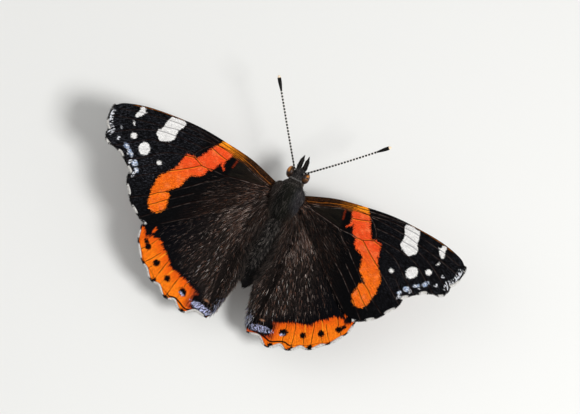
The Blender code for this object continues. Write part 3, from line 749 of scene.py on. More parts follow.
def makeBlade(wing, side, materials, marks):
    name = f"{wing['name']}_{side}"
    bm = bmesh.new()
    bm.loops.layers.uv.new("flow")
    bmesh.ops.create_grid(bm, x_segments=wing["along"], y_segments=wing["across"], size=0.5, calc_uvs=True)
    if side == "right":
        bmesh.ops.reverse_faces(bm, faces=bm.faces)
    mesh = bpy.data.meshes.new(name + "_blade")
    bm.to_mesh(mesh)
    bm.free()
    spots = meshPlaces(mesh)
    column = np.rint((spots[:, 0] + 0.5) * wing["along"]).astype(int)
    row = np.rint((spots[:, 1] + 0.5) * wing["across"]).astype(int)
    order = row * (wing["along"] + 1) + column
    places = raiseBlade(wing, side)
    setPlaces(mesh, toFrame(places[order]))
    wing[side] = places.reshape(wing["across"] + 1, wing["along"] + 1, 3)
    putValues(mesh, "veins", wing["near"][order])
    putValues(mesh, "veinSide", wing["side"][order])
    flat = wing["flat"][order]
    putValues(mesh, "rim", lineDistance(flat, wing["marginPath"]))
    for attribute, values in marks(flat - wing["shift"][side], flat).items():
        putValues(mesh, attribute, values)
    # painted light, the two wings lit unlike: on the left the painted vein highlights are weaker, except near the root,
    # and the scales lighter
    paintedShine = 1.0 if side == "right" else 0.4 + 0.8 * smoothStep(9.5 - flat[:, 0], 0.0, 3.0)
    putValues(mesh, "paintedVeinGlint", np.broadcast_to(paintedShine, (len(flat),)))
    putValues(mesh, "light", np.full(len(flat), 0.5 if side == "right" else 1.0))
    piece = addPiece(name + "_blade", mesh, materials, wing["name"], [name])
    shell = piece.modifiers.new("Thickness", "SOLIDIFY")
    shell.thickness = blade["thickness"] * mm
    shell.offset = 0.0
    shell.material_offset = 1
    return piece


def foreValues(flat, unmoved):
    band = np.maximum(insideDistance(flat, foreMarks["band"], 170), insideDistance(flat, foreMarks["spur"], 30))
    ink, inkSide = lineField(flat, foreLines["ink"])
    gold, goldSide = lineField(flat, foreLines["gold"])
    white = np.maximum(insideDistance(flat, foreMarks["bar"]), insideDistance(flat, foreMarks["tipSpot"], 50))
    front = lineDistance(flat, foreWing["costaPath"])
    x, y = flat[:, 0], flat[:, 1]
    # pale flecks in a row inside the edge of the tip
    apex = 0.42 - np.abs(lineDistance(unmoved, foreWing["marginPath"]) - 0.62)
    apex = np.minimum(apex, np.minimum(x - 30.6, np.minimum(5.3 - y, y - 0.9)))
    return {
        "band": band - 0.14,
        "ember": insideDistance(flat, foreMarks["ember"], 30) - 0.05,
        "white": np.maximum(white, discDistance(flat, foreMarks["spots"])) - 0.13,
        "ink": ink, "inkSide": inkSide, "gold": gold, "goldSide": goldSide,
        "front": front,
        "blue": discDistance(flat, foreMarks["blue"]),
        "frost": np.maximum(discDistance(flat, foreMarks["frost"]), apex),
        "cell": smoothStep(insideDistance(flat, foreMarks["cell"], 50), -0.3, 0.5),
        "brown": smoothStep(-band, 0.6, 6.0) * smoothStep(20.0 - x, 2.0, 13.0),
        "dust": np.max([smoothStep(x, 18.5, 23.0) * smoothStep(y, 2.0, 5.0) * (1 - 0.55 * smoothStep(y, 8.0, 11.0)),
                        smoothStep(x, 29.0, 31.0), 0.6 * smoothStep(x, 15.0, 18.0) * smoothStep(9.0 - y, 0.0, 3.0)], axis=0),
        "sunny": smoothStep(y, 3.0, 9.0),
        "costal": smoothStep(14.0 - x, 0.0, 0.8) * smoothStep(1.35 + 0.02 * x - front, -0.2, 0.4),
        "bright": smoothStep(x, 5.0, 13.2),
        "goldLight": np.where(x < 17.0, 0.22 + 0.78 * smoothStep(x, 5.0, 12.0), 0.32),
        "dull": smoothStep(18.0 - x, 0.0, 3.5),
        "apexBrown": smoothStep(x - 0.35 * np.abs(y - 2), 24.0, 30.0),
    }


def hindValues(flat, unmoved):
    band = insideDistance(flat, hindMarks["band"], 150) - 0.3
    band = np.maximum(band, insideDistance(flat, hindMarks["streak"], 30) - 0.05)
    x, y = flat[:, 0], flat[:, 1]
    rim, rimSide = lineField(flat, hindLines["rim"])
    ink, inkSide = lineField(flat, hindLines["ink"])
    gold, goldSide = lineField(flat, hindLines["gold"])
    return {
        "band": band,
        "black": discDistance(flat, hindMarks["spots"]),
        "soot": discDistance(flat, hindMarks["soot"]),
        "rimInk": rim, "rimSide": rimSide, "ink": ink, "inkSide": inkSide, "gold": gold, "goldSide": goldSide,
        "rimBold": smoothStep(12.2 - x, 0.0, 1.2),
        "blue": np.maximum(discDistance(flat, hindMarks["blueEyes"]), discDistance(flat, hindMarks["violet"])),
        "fleck": discDistance(flat, hindMarks["fleck"]),
        "brown": smoothStep(15.0 - x, 0.0, 9.0),
        "dusk": smoothStep(8.75 - x, 0.0, 1.5) * smoothStep(y, 20.0, 22.3) * smoothStep(25.2 - y, 0.0, 0.6),
        "valley": np.exp(-((unmoved[:, 0] - bend["creaseX"]) / 0.8) ** 2) * smoothStep(y, 5.0, 8.0),
        "costaPale": np.exp(-((x - 9.5) / 2.2) ** 2) * np.exp(-((y - 6.2) / 2.0) ** 2),
    }


foreColours = {
    "outer": srgb(5, 5, 6), "dust": srgb(96, 98, 108), "soot": srgb(4, 3, 4), "brown": srgb(21, 16, 14),
    "rust": srgb(74, 48, 37), "cell": srgb(30, 27, 21), "vermilion": srgb(233, 78, 33), "orange": srgb(230, 96, 20),
    "rose": srgb(244, 128, 74), "brick": srgb(196, 62, 20), "gold": srgb(232, 132, 24), "goldDark": srgb(20, 13, 9),
    "bronze": srgb(92, 54, 26), "white": srgb(236, 234, 231), "shade": srgb(140, 138, 140), "pale": srgb(122, 110, 104),
    "veinInk": srgb(22, 8, 5), "blue": srgb(160, 180, 212), "frost": srgb(222, 224, 230), "amber": srgb(248, 136, 22),
    "honey": srgb(242, 146, 30),
}
hindColours = {
    "base": srgb(22, 18, 16), "streak": srgb(62, 51, 46), "deep": srgb(6, 5, 5), "orange": srgb(236, 106, 16),
    "orangeDeep": srgb(222, 84, 15), "spot": srgb(6, 5, 5), "violet": srgb(188, 192, 228), "dusk": srgb(168, 62, 30),
    "ink": srgb(58, 20, 8), "night": srgb(7, 7, 10), "gold": srgb(248, 150, 34), "fleck": srgb(206, 142, 104),
    "red": srgb(206, 64, 16), "amber": srgb(246, 134, 24),
}
scaleSize = {"long": 0.13, "wide": 0.075}


def wingShader(name, wing):
    # the parts that all wing finishes share: scale tint and height, streaks and dashes along the veins, soft clouds
    material, tree, shader = newMaterial(name)
    long, wide = scaleSize["long"] * mm, scaleSize["wide"] * mm
    size = (1 / long, 1 / wide, 1 / long) if wing is foreWing else (1 / wide, 1 / long, 1 / long)
    scales = useGroup(tree, scaleGroup, Vector=placeVector(tree, size))
    streaks = noiseValue(tree, placeVector(tree, (9.0, 150.0, 1.0), "flow"), 1.0, 3.0, 0.6)
    dashes = noiseValue(tree, placeVector(tree, (44.0, 170.0, 1.0), "flow"), 1.0, 2.0, 0.55)
    clouds = noiseValue(tree, placeVector(tree, (1, 1, 1)), 900.0, 3.0, 0.55)
    shader.inputs["Roughness"].default_value = 0.72
    shader.inputs["Specular IOR Level"].default_value = 0.03
    return material, tree, shader, scales, streaks, dashes, clouds


def marking(tree, name, tint, ragged=0.22, soft=0.1):
    distance = readValue(tree, name)
    return useGroup(tree, raggedGroup, Distance=distance, Tint=tint, Ragged=ragged, Soft=soft)["Mask"]


def part(tree, mask, share):
    return calc(tree, "MULTIPLY", mask, share)


def thinLine(tree, name, near, offset=0.0, half=0.06):
    return useGroup(tree, lineGroup, Side=readValue(tree, name), Near=readValue(tree, near), Offset=offset,
                    Half=half)["Mask"]


def finishWing(tree, shader, colour, scales, streaks, tintDepth=0.2):
    # each scale a little lighter or darker, and a relief of scales, streaks and veins
    tint = fade(tree, scales["Tint"], 0.0, 1.0, 1 - tintDepth, 1 + tintDepth)
    tint = calc(tree, "MULTIPLY", tint, fade(tree, streaks, 0.3, 0.7, 0.84, 1.14))
    tree.links.new(blendColours(tree, 1.0, colour, tint, "MULTIPLY"), shader.inputs["Base Color"])
    ridge = fade(tree, readValue(tree, "veins"), 0.02, 0.14, 1.0, 0.0)
    height = calc(tree, "MULTIPLY_ADD", ridge, 0.8, scales["Height"])
    addBump(tree, shader, calc(tree, "MULTIPLY_ADD", streaks, 2.0, height), 0.5, 0.00005)


def makeForeTop():
    c = foreColours
    material, tree, shader, scales, streaks, dashes, clouds = wingShader("forewingTop", foreWing)
    tint = scales["Tint"]
    edge = calc(tree, "MULTIPLY_ADD", tint, 0.22, dashes)
    # light is painted light: the left wing's scales lighter, browner, more flecked and more golden than the right's
    light = readValue(tree, "light")
    # grey flecks on the black: grey scales with a painted sheen, half as many on the right wing
    speckle = part(tree, fade(tree, edge, 0.62, 0.82), light)
    outer = blendColours(tree, part(tree, speckle, fade(tree, readValue(tree, "dust"), 0.0, 1.0, 0.02, 0.36)),
                         c["outer"], c["dust"])
    brown = blendColours(tree, fade(tree, streaks, 0.46, 0.68), c["brown"], c["rust"])
    brown = blendColours(tree, fade(tree, dashes, 0.54, 0.38), brown, c["soot"])
    colour = blendColours(tree, part(tree, readValue(tree, "brown"), light), outer, brown)
    cell = part(tree, readValue(tree, "cell"), fade(tree, streaks, 0.4, 0.64, 0.1, 0.9))
    colour = blendColours(tree, cell, colour, c["cell"])
    # each vein of the dark part is a black line with a broken pale painted highlight on one side, as are the fold lines
    broken = part(tree, fade(tree, clouds, 0.38, 0.6, 0.1, 1.0), fade(tree, readValue(tree, "dull"), 0.0, 1.0, 0.35, 1.0))
    broken = part(tree, broken, readValue(tree, "paintedVeinGlint"))
    pale = part(tree, thinLine(tree, "veinSide", "veins", 0.09, 0.065), broken)
    colour = blendColours(tree, part(tree, pale, 0.62), colour, c["pale"])
    fold = part(tree, thinLine(tree, "inkSide", "ink", 0.09, 0.065), broken)
    colour = blendColours(tree, part(tree, fold, 0.5), colour, c["pale"])
    # the front edge is dark near the body, with thin gold streaks that widen towards the band; the gold is duller on
    # the right wing, painted light
    mottle = fade(tree, edge, 0.6, 0.8)
    costal = blendColours(tree, mottle, c["goldDark"], c["bronze"])
    bright = part(tree, fade(tree, readValue(tree, "bright"), 0.35, 1.0), fade(tree, streaks, 0.44, 0.56, 0.3, 1.0))
    costal = blendColours(tree, part(tree, bright, fade(tree, light, 0.5, 1.0, 0.55, 0.9)), costal, c["gold"])
    colour = blendColours(tree, part(tree, readValue(tree, "costal"), 0.92), colour, costal)
    golden = part(tree, thinLine(tree, "goldSide", "gold", 0.0, 0.085), readValue(tree, "goldLight"))
    golden = part(tree, golden, fade(tree, dashes, 0.38, 0.52, 0.15, 1.0))
    colour = blendColours(tree, golden, colour, c["gold"])
    ember = part(tree, marking(tree, "ember", edge, 0.7, 0.1), fade(tree, streaks, 0.4, 0.55, 0.2, 0.8))
    colour = blendColours(tree, part(tree, ember, 0.4), colour, c["brick"])
    # the red band, warmer towards the rear, crossed by dark veins with gold edges
    band = blendColours(tree, readValue(tree, "sunny"), c["vermilion"], c["orange"])
    rosy = fade(tree, calc(tree, "MULTIPLY_ADD", dashes, 0.5, clouds), 0.72, 0.98, 0.0, 0.5)
    band = blendColours(tree, rosy, band, c["rose"])
    band = blendColours(tree, fade(tree, dashes, 0.48, 0.3, 0.0, 0.5), band, c["brick"])
    band = blendColours(tree, part(tree, readValue(tree, "sunny"), fade(tree, edge, 0.6, 0.8, 0.0, 0.6)), band, c["amber"])
    band = blendColours(tree, fade(tree, readValue(tree, "front"), 1.5, 0.6), band, c["honey"])
    rim = part(tree, thinLine(tree, "veinSide", "veins", 0.12, 0.06), 0.7)
    band = blendColours(tree, rim, band, c["gold"])
    colour = blendColours(tree, marking(tree, "band", edge, 1.2, 0.1), colour, band)
    colour = blendColours(tree, thinLine(tree, "inkSide", "ink", 0.0, 0.07), colour, c["veinInk"])
    white = blendColours(tree, part(tree, thinLine(tree, "veinSide", "veins", 0.0, 0.09), 0.6), c["white"], c["shade"])
    white = blendColours(tree, fade(tree, streaks, 0.5, 0.64, 0.0, 0.5), white, c["shade"])
    whiteMask = marking(tree, "white", edge, 0.7, 0.06)
    colour = blendColours(tree, whiteMask, colour, white)
    locks = noiseValue(tree, placeVector(tree, (52.0, 74.0, 1.0), "flow"), 1.0, 1.0, 0.5)
    locks = calc(tree, "MULTIPLY_ADD", scales["Tint"], 0.12, locks)
    blue = part(tree, marking(tree, "blue", clouds, 0.9, 0.24), fade(tree, edge, 0.48, 0.6))
    bluish = blendColours(tree, fade(tree, locks, 0.56, 0.64), c["blue"], c["frost"])
    colour = blendColours(tree, part(tree, blue, fade(tree, locks, 0.42, 0.5, 0.25, 1.0)), colour, bluish)
    frost = part(tree, marking(tree, "frost", clouds, 1.0, 0.2), fade(tree, locks, 0.55, 0.63))
    colour = blendColours(tree, part(tree, frost, 0.9), colour, c["frost"])
    # a thin pale line along the outer edge, black at the vein ends
    hem = part(tree, fade(tree, readValue(tree, "rim"), 0.16, 0.05), fade(tree, readValue(tree, "veins"), 0.35, 0.7))
    colour = blendColours(tree, part(tree, hem, fade(tree, dashes, 0.42, 0.56, 0.0, 0.6)), colour, c["frost"])
    veinShare = calc(tree, "MULTIPLY_ADD", whiteMask, -0.65, 0.95)
    colour = blendColours(tree, part(tree, thinLine(tree, "veinSide", "veins", 0.0, 0.072), veinShare), colour, c["veinInk"])
    finishWing(tree, shader, colour, scales, streaks)
    return material


def makeHindTop():
    c = hindColours
    material, tree, shader, scales, streaks, dashes, clouds = wingShader("hindwingTop", hindWing)
    edge = calc(tree, "MULTIPLY_ADD", scales["Tint"], 0.22, dashes)
    base = blendColours(tree, fade(tree, dashes, 0.5, 0.72), c["base"], c["streak"])
    base = blendColours(tree, fade(tree, streaks, 0.48, 0.34), base, c["deep"])
    colour = blendColours(tree, readValue(tree, "brown"), c["night"], base)
    # painted shade in the crease of the hind wing beside the abdomen
    colour = blendColours(tree, part(tree, readValue(tree, "valley"), 0.6), colour, c["deep"])
    rimDark = part(tree, fade(tree, readValue(tree, "band"), -2.2, -0.2), 0.8)
    colour = blendColours(tree, rimDark, colour, c["night"])
    band = blendColours(tree, fade(tree, clouds, 0.35, 0.7), c["orangeDeep"], c["orange"])
    band = blendColours(tree, fade(tree, dashes, 0.35, 0.65, 0.1, 0.7), band, c["orange"])
    outside = part(tree, fade(tree, readValue(tree, "band"), 0.7, 2.2), fade(tree, dashes, 0.35, 0.6, 0.15, 0.75))
    band = blendColours(tree, outside, band, c["amber"])
    band = blendColours(tree, fade(tree, readValue(tree, "band"), 0.9, 0.1, 0.0, 0.45), band, c["red"])
    band = blendColours(tree, part(tree, thinLine(tree, "goldSide", "gold", 0.0, 0.14), 0.8), band, c["gold"])
    band = blendColours(tree, part(tree, thinLine(tree, "inkSide", "ink", 0.12, 0.06), 0.45), band, c["gold"])
    dusk = blendColours(tree, fade(tree, dashes, 0.42, 0.54), c["base"], c["dusk"])
    band = blendColours(tree, part(tree, readValue(tree, "dusk"), 0.92), band, dusk)
    vein = part(tree, thinLine(tree, "inkSide", "ink", 0.0, 0.085), fade(tree, clouds, 0.38, 0.52, 0.4, 1.0))
    band = blendColours(tree, vein, band, c["ink"])
    combed = noiseValue(tree, placeVector(tree, (13.0, 110.0, 1.0), "flow"), 1.0, 3.0, 0.65)
    colour = blendColours(tree, marking(tree, "band", combed, 2.2, 0.12), colour, band)
    colour = blendColours(tree, marking(tree, "black", edge, 0.9, 0.06), colour, c["spot"])
    colour = blendColours(tree, marking(tree, "soot", edge, 0.6, 0.15), colour, c["spot"])
    bold = part(tree, thinLine(tree, "rimSide", "rimInk", 0.0, 0.17), readValue(tree, "rimBold"))
    slim = part(tree, thinLine(tree, "rimSide", "rimInk", 0.0, 0.08), 0.5)
    colour = blendColours(tree, calc(tree, "MAXIMUM", bold, slim), colour, c["spot"])
    colour = blendColours(tree, part(tree, marking(tree, "fleck", edge, 0.5, 0.2), 0.5), colour, c["fleck"])
    locks = noiseValue(tree, placeVector(tree, (40.0, 92.0, 1.0), "flow"), 1.0, 1.5, 0.5)
    locks = calc(tree, "MULTIPLY_ADD", scales["Tint"], 0.1, locks)
    violet = part(tree, marking(tree, "blue", edge, 0.8, 0.12), fade(tree, locks, 0.5, 0.6, 0.04, 1.0))
    colour = blendColours(tree, violet, colour, c["violet"])
    hem = part(tree, fade(tree, readValue(tree, "rim"), 0.13, 0.05), fade(tree, readValue(tree, "veins"), 0.25, 0.5, 1.0, 0.35))
    colour = blendColours(tree, hem, colour, c["spot"])
    finishWing(tree, shader, colour, scales, streaks)
    return material


underColours = {
    "umber": srgb(70, 50, 38), "dark": srgb(30, 22, 20), "greyBlue": srgb(112, 122, 140), "cream": srgb(206, 186, 150),
    "rose": srgb(214, 78, 62), "pale": srgb(226, 222, 214), "black": srgb(22, 18, 20), "steel": srgb(96, 128, 170),
    "bark": srgb(124, 98, 74),
}


def makeForeUnder():
    c = underColours
    material, tree, shader, scales, streaks, dashes, clouds = wingShader("forewingUnder", foreWing)
    tint = scales["Tint"]
    colour = blendColours(tree, readValue(tree, "brown"), c["black"], c["dark"])
    marble = blendColours(tree, fade(tree, clouds, 0.4, 0.6), c["umber"], c["bark"])
    colour = blendColours(tree, readValue(tree, "apexBrown"), colour, marble)
    steel = calc(tree, "MULTIPLY", readValue(tree, "costal"), fade(tree, clouds, 0.42, 0.56))
    colour = blendColours(tree, steel, colour, c["steel"])
    colour = blendColours(tree, marking(tree, "band", tint, 0.34, 0.14), colour, c["rose"])
    colour = blendColours(tree, marking(tree, "white", tint, 0.3, 0.12), colour, c["pale"])
    blue = marking(tree, "blue", clouds, 1.0, 0.5)
    colour = blendColours(tree, calc(tree, "MULTIPLY", blue, 0.7), colour, c["steel"])
    colour = blendColours(tree, fade(tree, readValue(tree, "veins"), 0.03, 0.16, 0.6, 0.0), colour, c["umber"])
    finishWing(tree, shader, colour, scales, streaks, 0.3)
    return material


def makeHindUnder():
    c = underColours
    material, tree, shader, scales, streaks, dashes, clouds = wingShader("hindwingUnder", hindWing)
    broad = noiseValue(tree, placeVector(tree, (1, 1, 1)), 330.0, 4.0, 0.6)
    colour = blendColours(tree, fade(tree, broad, 0.42, 0.56), c["dark"], c["umber"])
    colour = blendColours(tree, fade(tree, clouds, 0.52, 0.64, 0.0, 0.7), colour, c["bark"])
    zone = calc(tree, "MULTIPLY", fade(tree, broad, 0.54, 0.64), fade(tree, readValue(tree, "rim"), 9.0, 3.0))
    colour = blendColours(tree, calc(tree, "MULTIPLY", zone, 0.8), colour, c["greyBlue"])
    cream = fade(tree, calc(tree, "ADD", readValue(tree, "costaPale"), calc(tree, "MULTIPLY", clouds, 0.6)), 0.72, 0.9)
    colour = blendColours(tree, calc(tree, "MULTIPLY", cream, 0.85), colour, c["cream"])
    spots = marking(tree, "black", scales["Tint"], 0.5, 0.5)
    colour = blendColours(tree, calc(tree, "MULTIPLY", spots, 0.7), colour, c["black"])
    colour = blendColours(tree, fade(tree, readValue(tree, "rim"), 0.5, 0.9, 0.5, 0.0), colour, c["bark"])
    colour = blendColours(tree, fade(tree, readValue(tree, "veins"), 0.03, 0.16, 0.6, 0.0), colour, c["bark"])
    finishWing(tree, shader, colour, scales, streaks, 0.3)
    return material


for wing in (foreWing, hindWing):
    preparePaths(wing)
foreFinish = [makeForeTop(), makeForeUnder()]
hindFinish = [makeHindTop(), makeHindUnder()]
for side in sides:
    makeBlade(foreWing, side, foreFinish, foreValues)
    makeBlade(hindWing, side, hindFinish, hindValues)
print("wing blades ready")


# Hair on the wings
wingHair = {
    "hind": {"count": 15500, "length": (0.8, 1.4), "width": (0.028, 0.05)},
    "fore": {"count": 5200, "length": (0.8, 1.4), "width": (0.03, 0.055)},
    "shades": [(0.48, srgb(20, 17, 16)), (0.3, srgb(68, 55, 49)), (0.1, srgb(122, 84, 66)), (0.08, srgb(142, 124, 116)),
               (0.04, srgb(196, 178, 168))],
    "foreShades": [(0.68, srgb(12, 10, 9)), (0.2, srgb(46, 34, 28)), (0.07, srgb(106, 72, 56)), (0.05, srgb(136, 118, 110))],
    "flapShades": [(0.55, srgb(10, 9, 9)), (0.27, srgb(46, 39, 36)), (0.18, srgb(120, 106, 98))],
    "cornerShades": [(0.6, srgb(150, 156, 186)), (0.4, srgb(205, 206, 214))],
    "fringe": 2300, "fringeLength": (0.3, 0.48), "fringeBlack": srgb(12, 10, 11), "fringeWhite": srgb(240, 237, 232),
    "flap": 3000, "flapLength": (1.2, 2.2), "hinge": 600,
}


def topOf(wing, side):
    # the upper face of a blade, in mm
    middle = gridSurface(wing[side])

    def surface(u, v):
        places = middle(u, v)
        places[:, 2] += blade["thickness"] / 2
        return places
    return surface


def gridIndex(wing, spots):
    u, v = spots["u"] * wing["along"], spots["v"] * wing["across"]
    return np.rint(v).astype(int) * (wing["along"] + 1) + np.rint(u).astype(int)


def flatAt(wing, spots):
    return wing["flat"][gridIndex(wing, spots)]


def partedHair(wing, spots):
    # the main veins show between the hairs
    return 0.15 + 0.85 * smoothStep(wing["near"][gridIndex(wing, spots)], 0.05, 0.22)


def hindHair(side):
    # brown hair from the body out to the band, all over what the fore wing leaves open
    settings = wingHair["hind"]
    foreOutline = np.vstack([foreWing[edge + "Path"] for edge in ("costa", "margin")] + [foreWing["innerPath"][::-1]])
    wing = hindWing

    def density(places, u, v):
        flat = flatAt(wing, {"u": u, "v": v}) - wing["shift"][side]
        x, y = flat[:, 0], flat[:, 1]
        band = insideDistance(flat, hindMarks["band"], 60)
        bare = smoothStep(-loopDistance(flat, foreOutline[::12]), -1.3, -0.6)
        sleek = 1 - 0.65 * smoothStep(x + 0.4 * y, 18.0, 21.5)
        return bare * sleek * partedHair(wing, {"u": u, "v": v}) * smoothStep(-band, 0.5, 2.0) * smoothStep(23.6 - y + 0.15 * x, 0.0, 1.2)
    spots = coatSpots(topOf(wing, side), settings["count"], density, sides[side])
    count = len(spots["u"])
    flap = smoothStep(4.4 - flatAt(wing, spots)[:, 0], 0.0, 1.2)[:, None]
    inward = np.array([-sides[side] * 1.0, 0.0, 0.0])
    directions = spots["along"] + spots["across"] * spread(count, -0.12, 0.12)[:, None] + inward * flap * 0.45
    # longer near the body, shorter and flatter out on the wing
    flat = flatAt(wing, spots)
    near = smoothStep(15.0 - np.hypot(flat[:, 0], flat[:, 1]), 0.0, 9.0)
    looks = {"length": spread(count, *settings["length"]) * (1 + 0.4 * near), "width": spread(count, *settings["width"]),
             "lift": spread(count, 0.02, 0.1) + 0.1 * near, "droop": 0.06, "sway": spread(count, -0.12, 0.12)}
    # nearly black beside the abdomen, painted shade where the wing lies in the body's shadow; lightest a little further
    # out and dark again towards the front edge
    dim = 1 - 0.6 * smoothStep(5.0 - flat[:, 0], 0.0, 1.6) * smoothStep(18.0 - flat[:, 1], 0.0, 3.0)
    dim = dim * (0.75 + 1.05 * smoothStep(13.0 - flat[:, 0], 0.0, 5.5)) * (1 + 0.45 * smoothStep(flat[:, 1], 11.0, 16.0))
    rays = 0.9 + 0.3 * np.sin(spots["v"] * 95 + 1.5 * np.sin(spots["v"] * 37))
    colours = mixedColours(count, wingHair["shades"])
    looks["width"] = looks["width"] * (1 + 0.3 * smoothStep(colours[:, 1], 0.2, 0.6))
    colours = colours * (dim * rays)[:, None]
    return makeTufts(f"hindwing_hair_{side}", spots, directions, looks, colours, "hindwing")


def foreHair(side):
    # shorter hair over the root of the fore wing, thinning out towards the band
    settings = wingHair["fore"]
    wing = foreWing

    def density(places, u, v):
        flat = flatAt(wing, {"u": u, "v": v})
        x, y = flat[:, 0], flat[:, 1]
        reach = smoothStep(14.0 - x, 0.0, 9.0)
        return reach * smoothStep(y - 0.3 * x, -0.6, 0.8) * partedHair(wing, {"u": u, "v": v})
    spots = coatSpots(topOf(wing, side), settings["count"], density, sides[side])
    count = len(spots["u"])
    directions = spots["along"] + spots["across"] * spread(count, -0.1, 0.22)[:, None]
    looks = {"length": spread(count, *settings["length"]), "width": spread(count, *settings["width"]),
             "lift": spread(count, 0.02, 0.14), "droop": 0.04, "sway": spread(count, -0.1, 0.1)}
    # lighter near the root; on the left wing lighter and further out than on the right, a difference that is painted
    # light
    reach, low = (8.5, 1.0) if side == "left" else (5.2, 0.6)
    light = low + (2.6 - low) * smoothStep(reach - flatAt(wing, spots)[:, 0], 0.0, 2.6)
    colours = mixedColours(count, wingHair["foreShades"]) * light[:, None]
    return makeTufts(f"forewing_hair_{side}", spots, directions, looks, colours, "forewing")


def fringe(wing, side):
    # the hair that edges the outer margin: white with black at the veins, or black with white between them
    count = wingHair["fringe"]
    v = np.sort(dice.random(count))
    u = np.ones(count)
    surface = gridSurface(wing[side])
    places = surface(u, v)
    along = unit(surface(u, v) - surface(u - 0.02, v))
    across = unit(surface(u, v + 0.004) - surface(u, v - 0.004))
    normal = unit(np.cross(along, across) * sides[side])
    outward = layAlong(along, across) + along * 0.25 + across * spread(count, -0.2, 0.2)[:, None]
    flat = alongPath(wing["marginPath"], v)
    toTip = np.min([np.hypot(*(flat - tip).T) for tip in wing["tips"]], axis=0)
    if wing is hindWing:
        white = smoothStep(toTip + 0.25 * dice.random(count), 0.45, 0.75)
    else:
        white = smoothStep(toTip + 0.3 * dice.random(count), 0.95, 1.25) * smoothStep(flat[:, 1], 1.0, 1.6)
    colours = np.where((white > dice.random(count))[:, None], wingHair["fringeWhite"], wingHair["fringeBlack"])
    colours = colours * spread(count, 0.7, 1.1)[:, None]
    spots = {"place": places, "normal": normal, "u": u, "v": v}
    # longest in the hollows between the vein ends
    length = spread(count, *wingHair["fringeLength"]) * (0.75 + 0.55 * smoothStep(toTip, 0.2, 1.1))
    looks = {"length": length, "width": spread(count, 0.045, 0.08), "thick": 0.4,
             "lift": spread(count, -0.1, 0.1), "droop": 0.05, "sway": spread(count, -0.15, 0.15)}
    return makeTufts(f"{wing['name']}_fringe_{side}", spots, outward, looks, colours, wing["name"])


def flapHair(side):
    # long soft hair that closes the gap between the hind wing and the abdomen, pale at the rear corner
    count = wingHair["flap"]
    u = np.where(dice.random(count) < 0.22, spread(count, 0.0, 0.2), 0.02 + 0.94 * dice.random(count) ** 1.2)
    v = 0.93 + 0.07 * dice.random(count) ** 0.6
    surface = topOf(hindWing, side)
    along = unit(surface(u, v) - surface(u - 0.01, v))
    across = unit(surface(u, v) - surface(u, v - 0.02))
    normal = unit(np.cross(along, across) * sides[side])
    spots = {"place": surface(u, v), "normal": normal, "u": u, "v": v}
    beside = smoothStep(0.62 - u, 0.0, 0.15)
    directions = along + across * (spread(count, 0.5, 1.5) * (0.35 + 0.65 * beside))[:, None]
    looks = {"length": spread(count, *wingHair["flapLength"]) * (0.55 + 0.45 * beside), "width": spread(count, 0.045, 0.075),
             "lift": spread(count, -0.05, 0.35), "droop": 0.16, "sway": spread(count, -0.18, 0.18)}
    corner = smoothStep(u, 0.78, 0.88) * smoothStep(0.97 - u, 0.0, 0.04)
    pale = (dice.random(count) < 0.55 * corner)[:, None]
    # darker in front of the rear corner, along the abdomen: painted shade where the wing meets the body
    dark = (1 - 0.4 * smoothStep(0.75 - u, 0.0, 0.12))[:, None]
    colours = np.where(pale, mixedColours(count, wingHair["cornerShades"]), mixedColours(count, wingHair["flapShades"]) * dark)
    return makeTufts(f"hindwing_flap_hair_{side}", spots, directions, looks, colours, "hindwing")


def hingeHair(side):
    # upright hair between the roots of the two wings
    count = wingHair["hinge"]
    u, v = spread(count, 0.0, 0.2), spread(count, 0.0, 0.1)
    surface = topOf(hindWing, side)
    along = unit(surface(u + 0.01, v) - surface(u - 0.01, v))
    across = unit(surface(u, v + 0.02) - surface(u, v - 0.02))
    normal = unit(np.cross(along, across) * sides[side])
    spots = {"place": surface(u, v), "normal": normal, "u": u, "v": v}
    directions = along * 0.5 + across * spread(count, 0.3, 1.2)[:, None]
    looks = {"length": spread(count, 0.5, 0.85), "width": spread(count, 0.045, 0.08), "lift": spread(count, 0.35, 0.9),
             "droop": 0.1, "sway": spread(count, -0.15, 0.15)}
    return makeTufts(f"hinge_hair_{side}", spots, directions, looks, mixedColours(count, wingHair["foreShades"]),
                     "hindwing")


for side in sides:
    hindHair(side)
    foreHair(side)
    flapHair(side)
    hingeHair(side)
    for wing in (foreWing, hindWing):
        fringe(wing, side)
print("wing hair ready")


# Body: one skin from the mouth to the tail, inside the hair that covers it
body = {
    "rings": [                        # (y, half width, top, bottom)
        (-4.72, 0.02, -1.13, -1.17), (-4.66, 0.26, -0.98, -1.33), (-4.4, 0.85, -0.35, -1.95), (-4.0, 1.15, 0.02, -2.2),
        (-3.4, 1.3, 0.2, -2.28), (-2.8, 1.32, 0.14, -2.24), (-2.45, 1.24, -0.02, -2.1), (-2.2, 1.28, -0.04, -2.12),
        (-1.95, 1.42, 0.06, -2.3), (-1.6, 1.6, 0.22, -2.6), (-0.7, 2.15, 0.68, -3.1), (0.4, 2.45, 0.92, -3.35),
        (1.6, 2.5, 1.02, -3.45), (2.8, 2.3, 0.85, -3.35), (3.8, 1.9, 0.45, -3.05), (4.5, 1.5, 0.0, -2.75),
        (4.95, 1.2, -0.4, -2.4)],
    "tail": 17.9, "tailStart": 5.3, "segments": 8, "groove": 0.06, "coat": 0.16, "lean": 0.25,
}
bodyShades = {
    "thorax": srgb(29, 29, 23), "flank": srgb(54, 46, 42), "steel": srgb(80, 80, 86), "collar": srgb(46, 42, 39),
    "head": srgb(48, 45, 44), "night": srgb(9, 8, 9), "abdomen": srgb(24, 21, 20), "under": srgb(104, 90, 76),
    "grey": srgb(182, 172, 164),
}


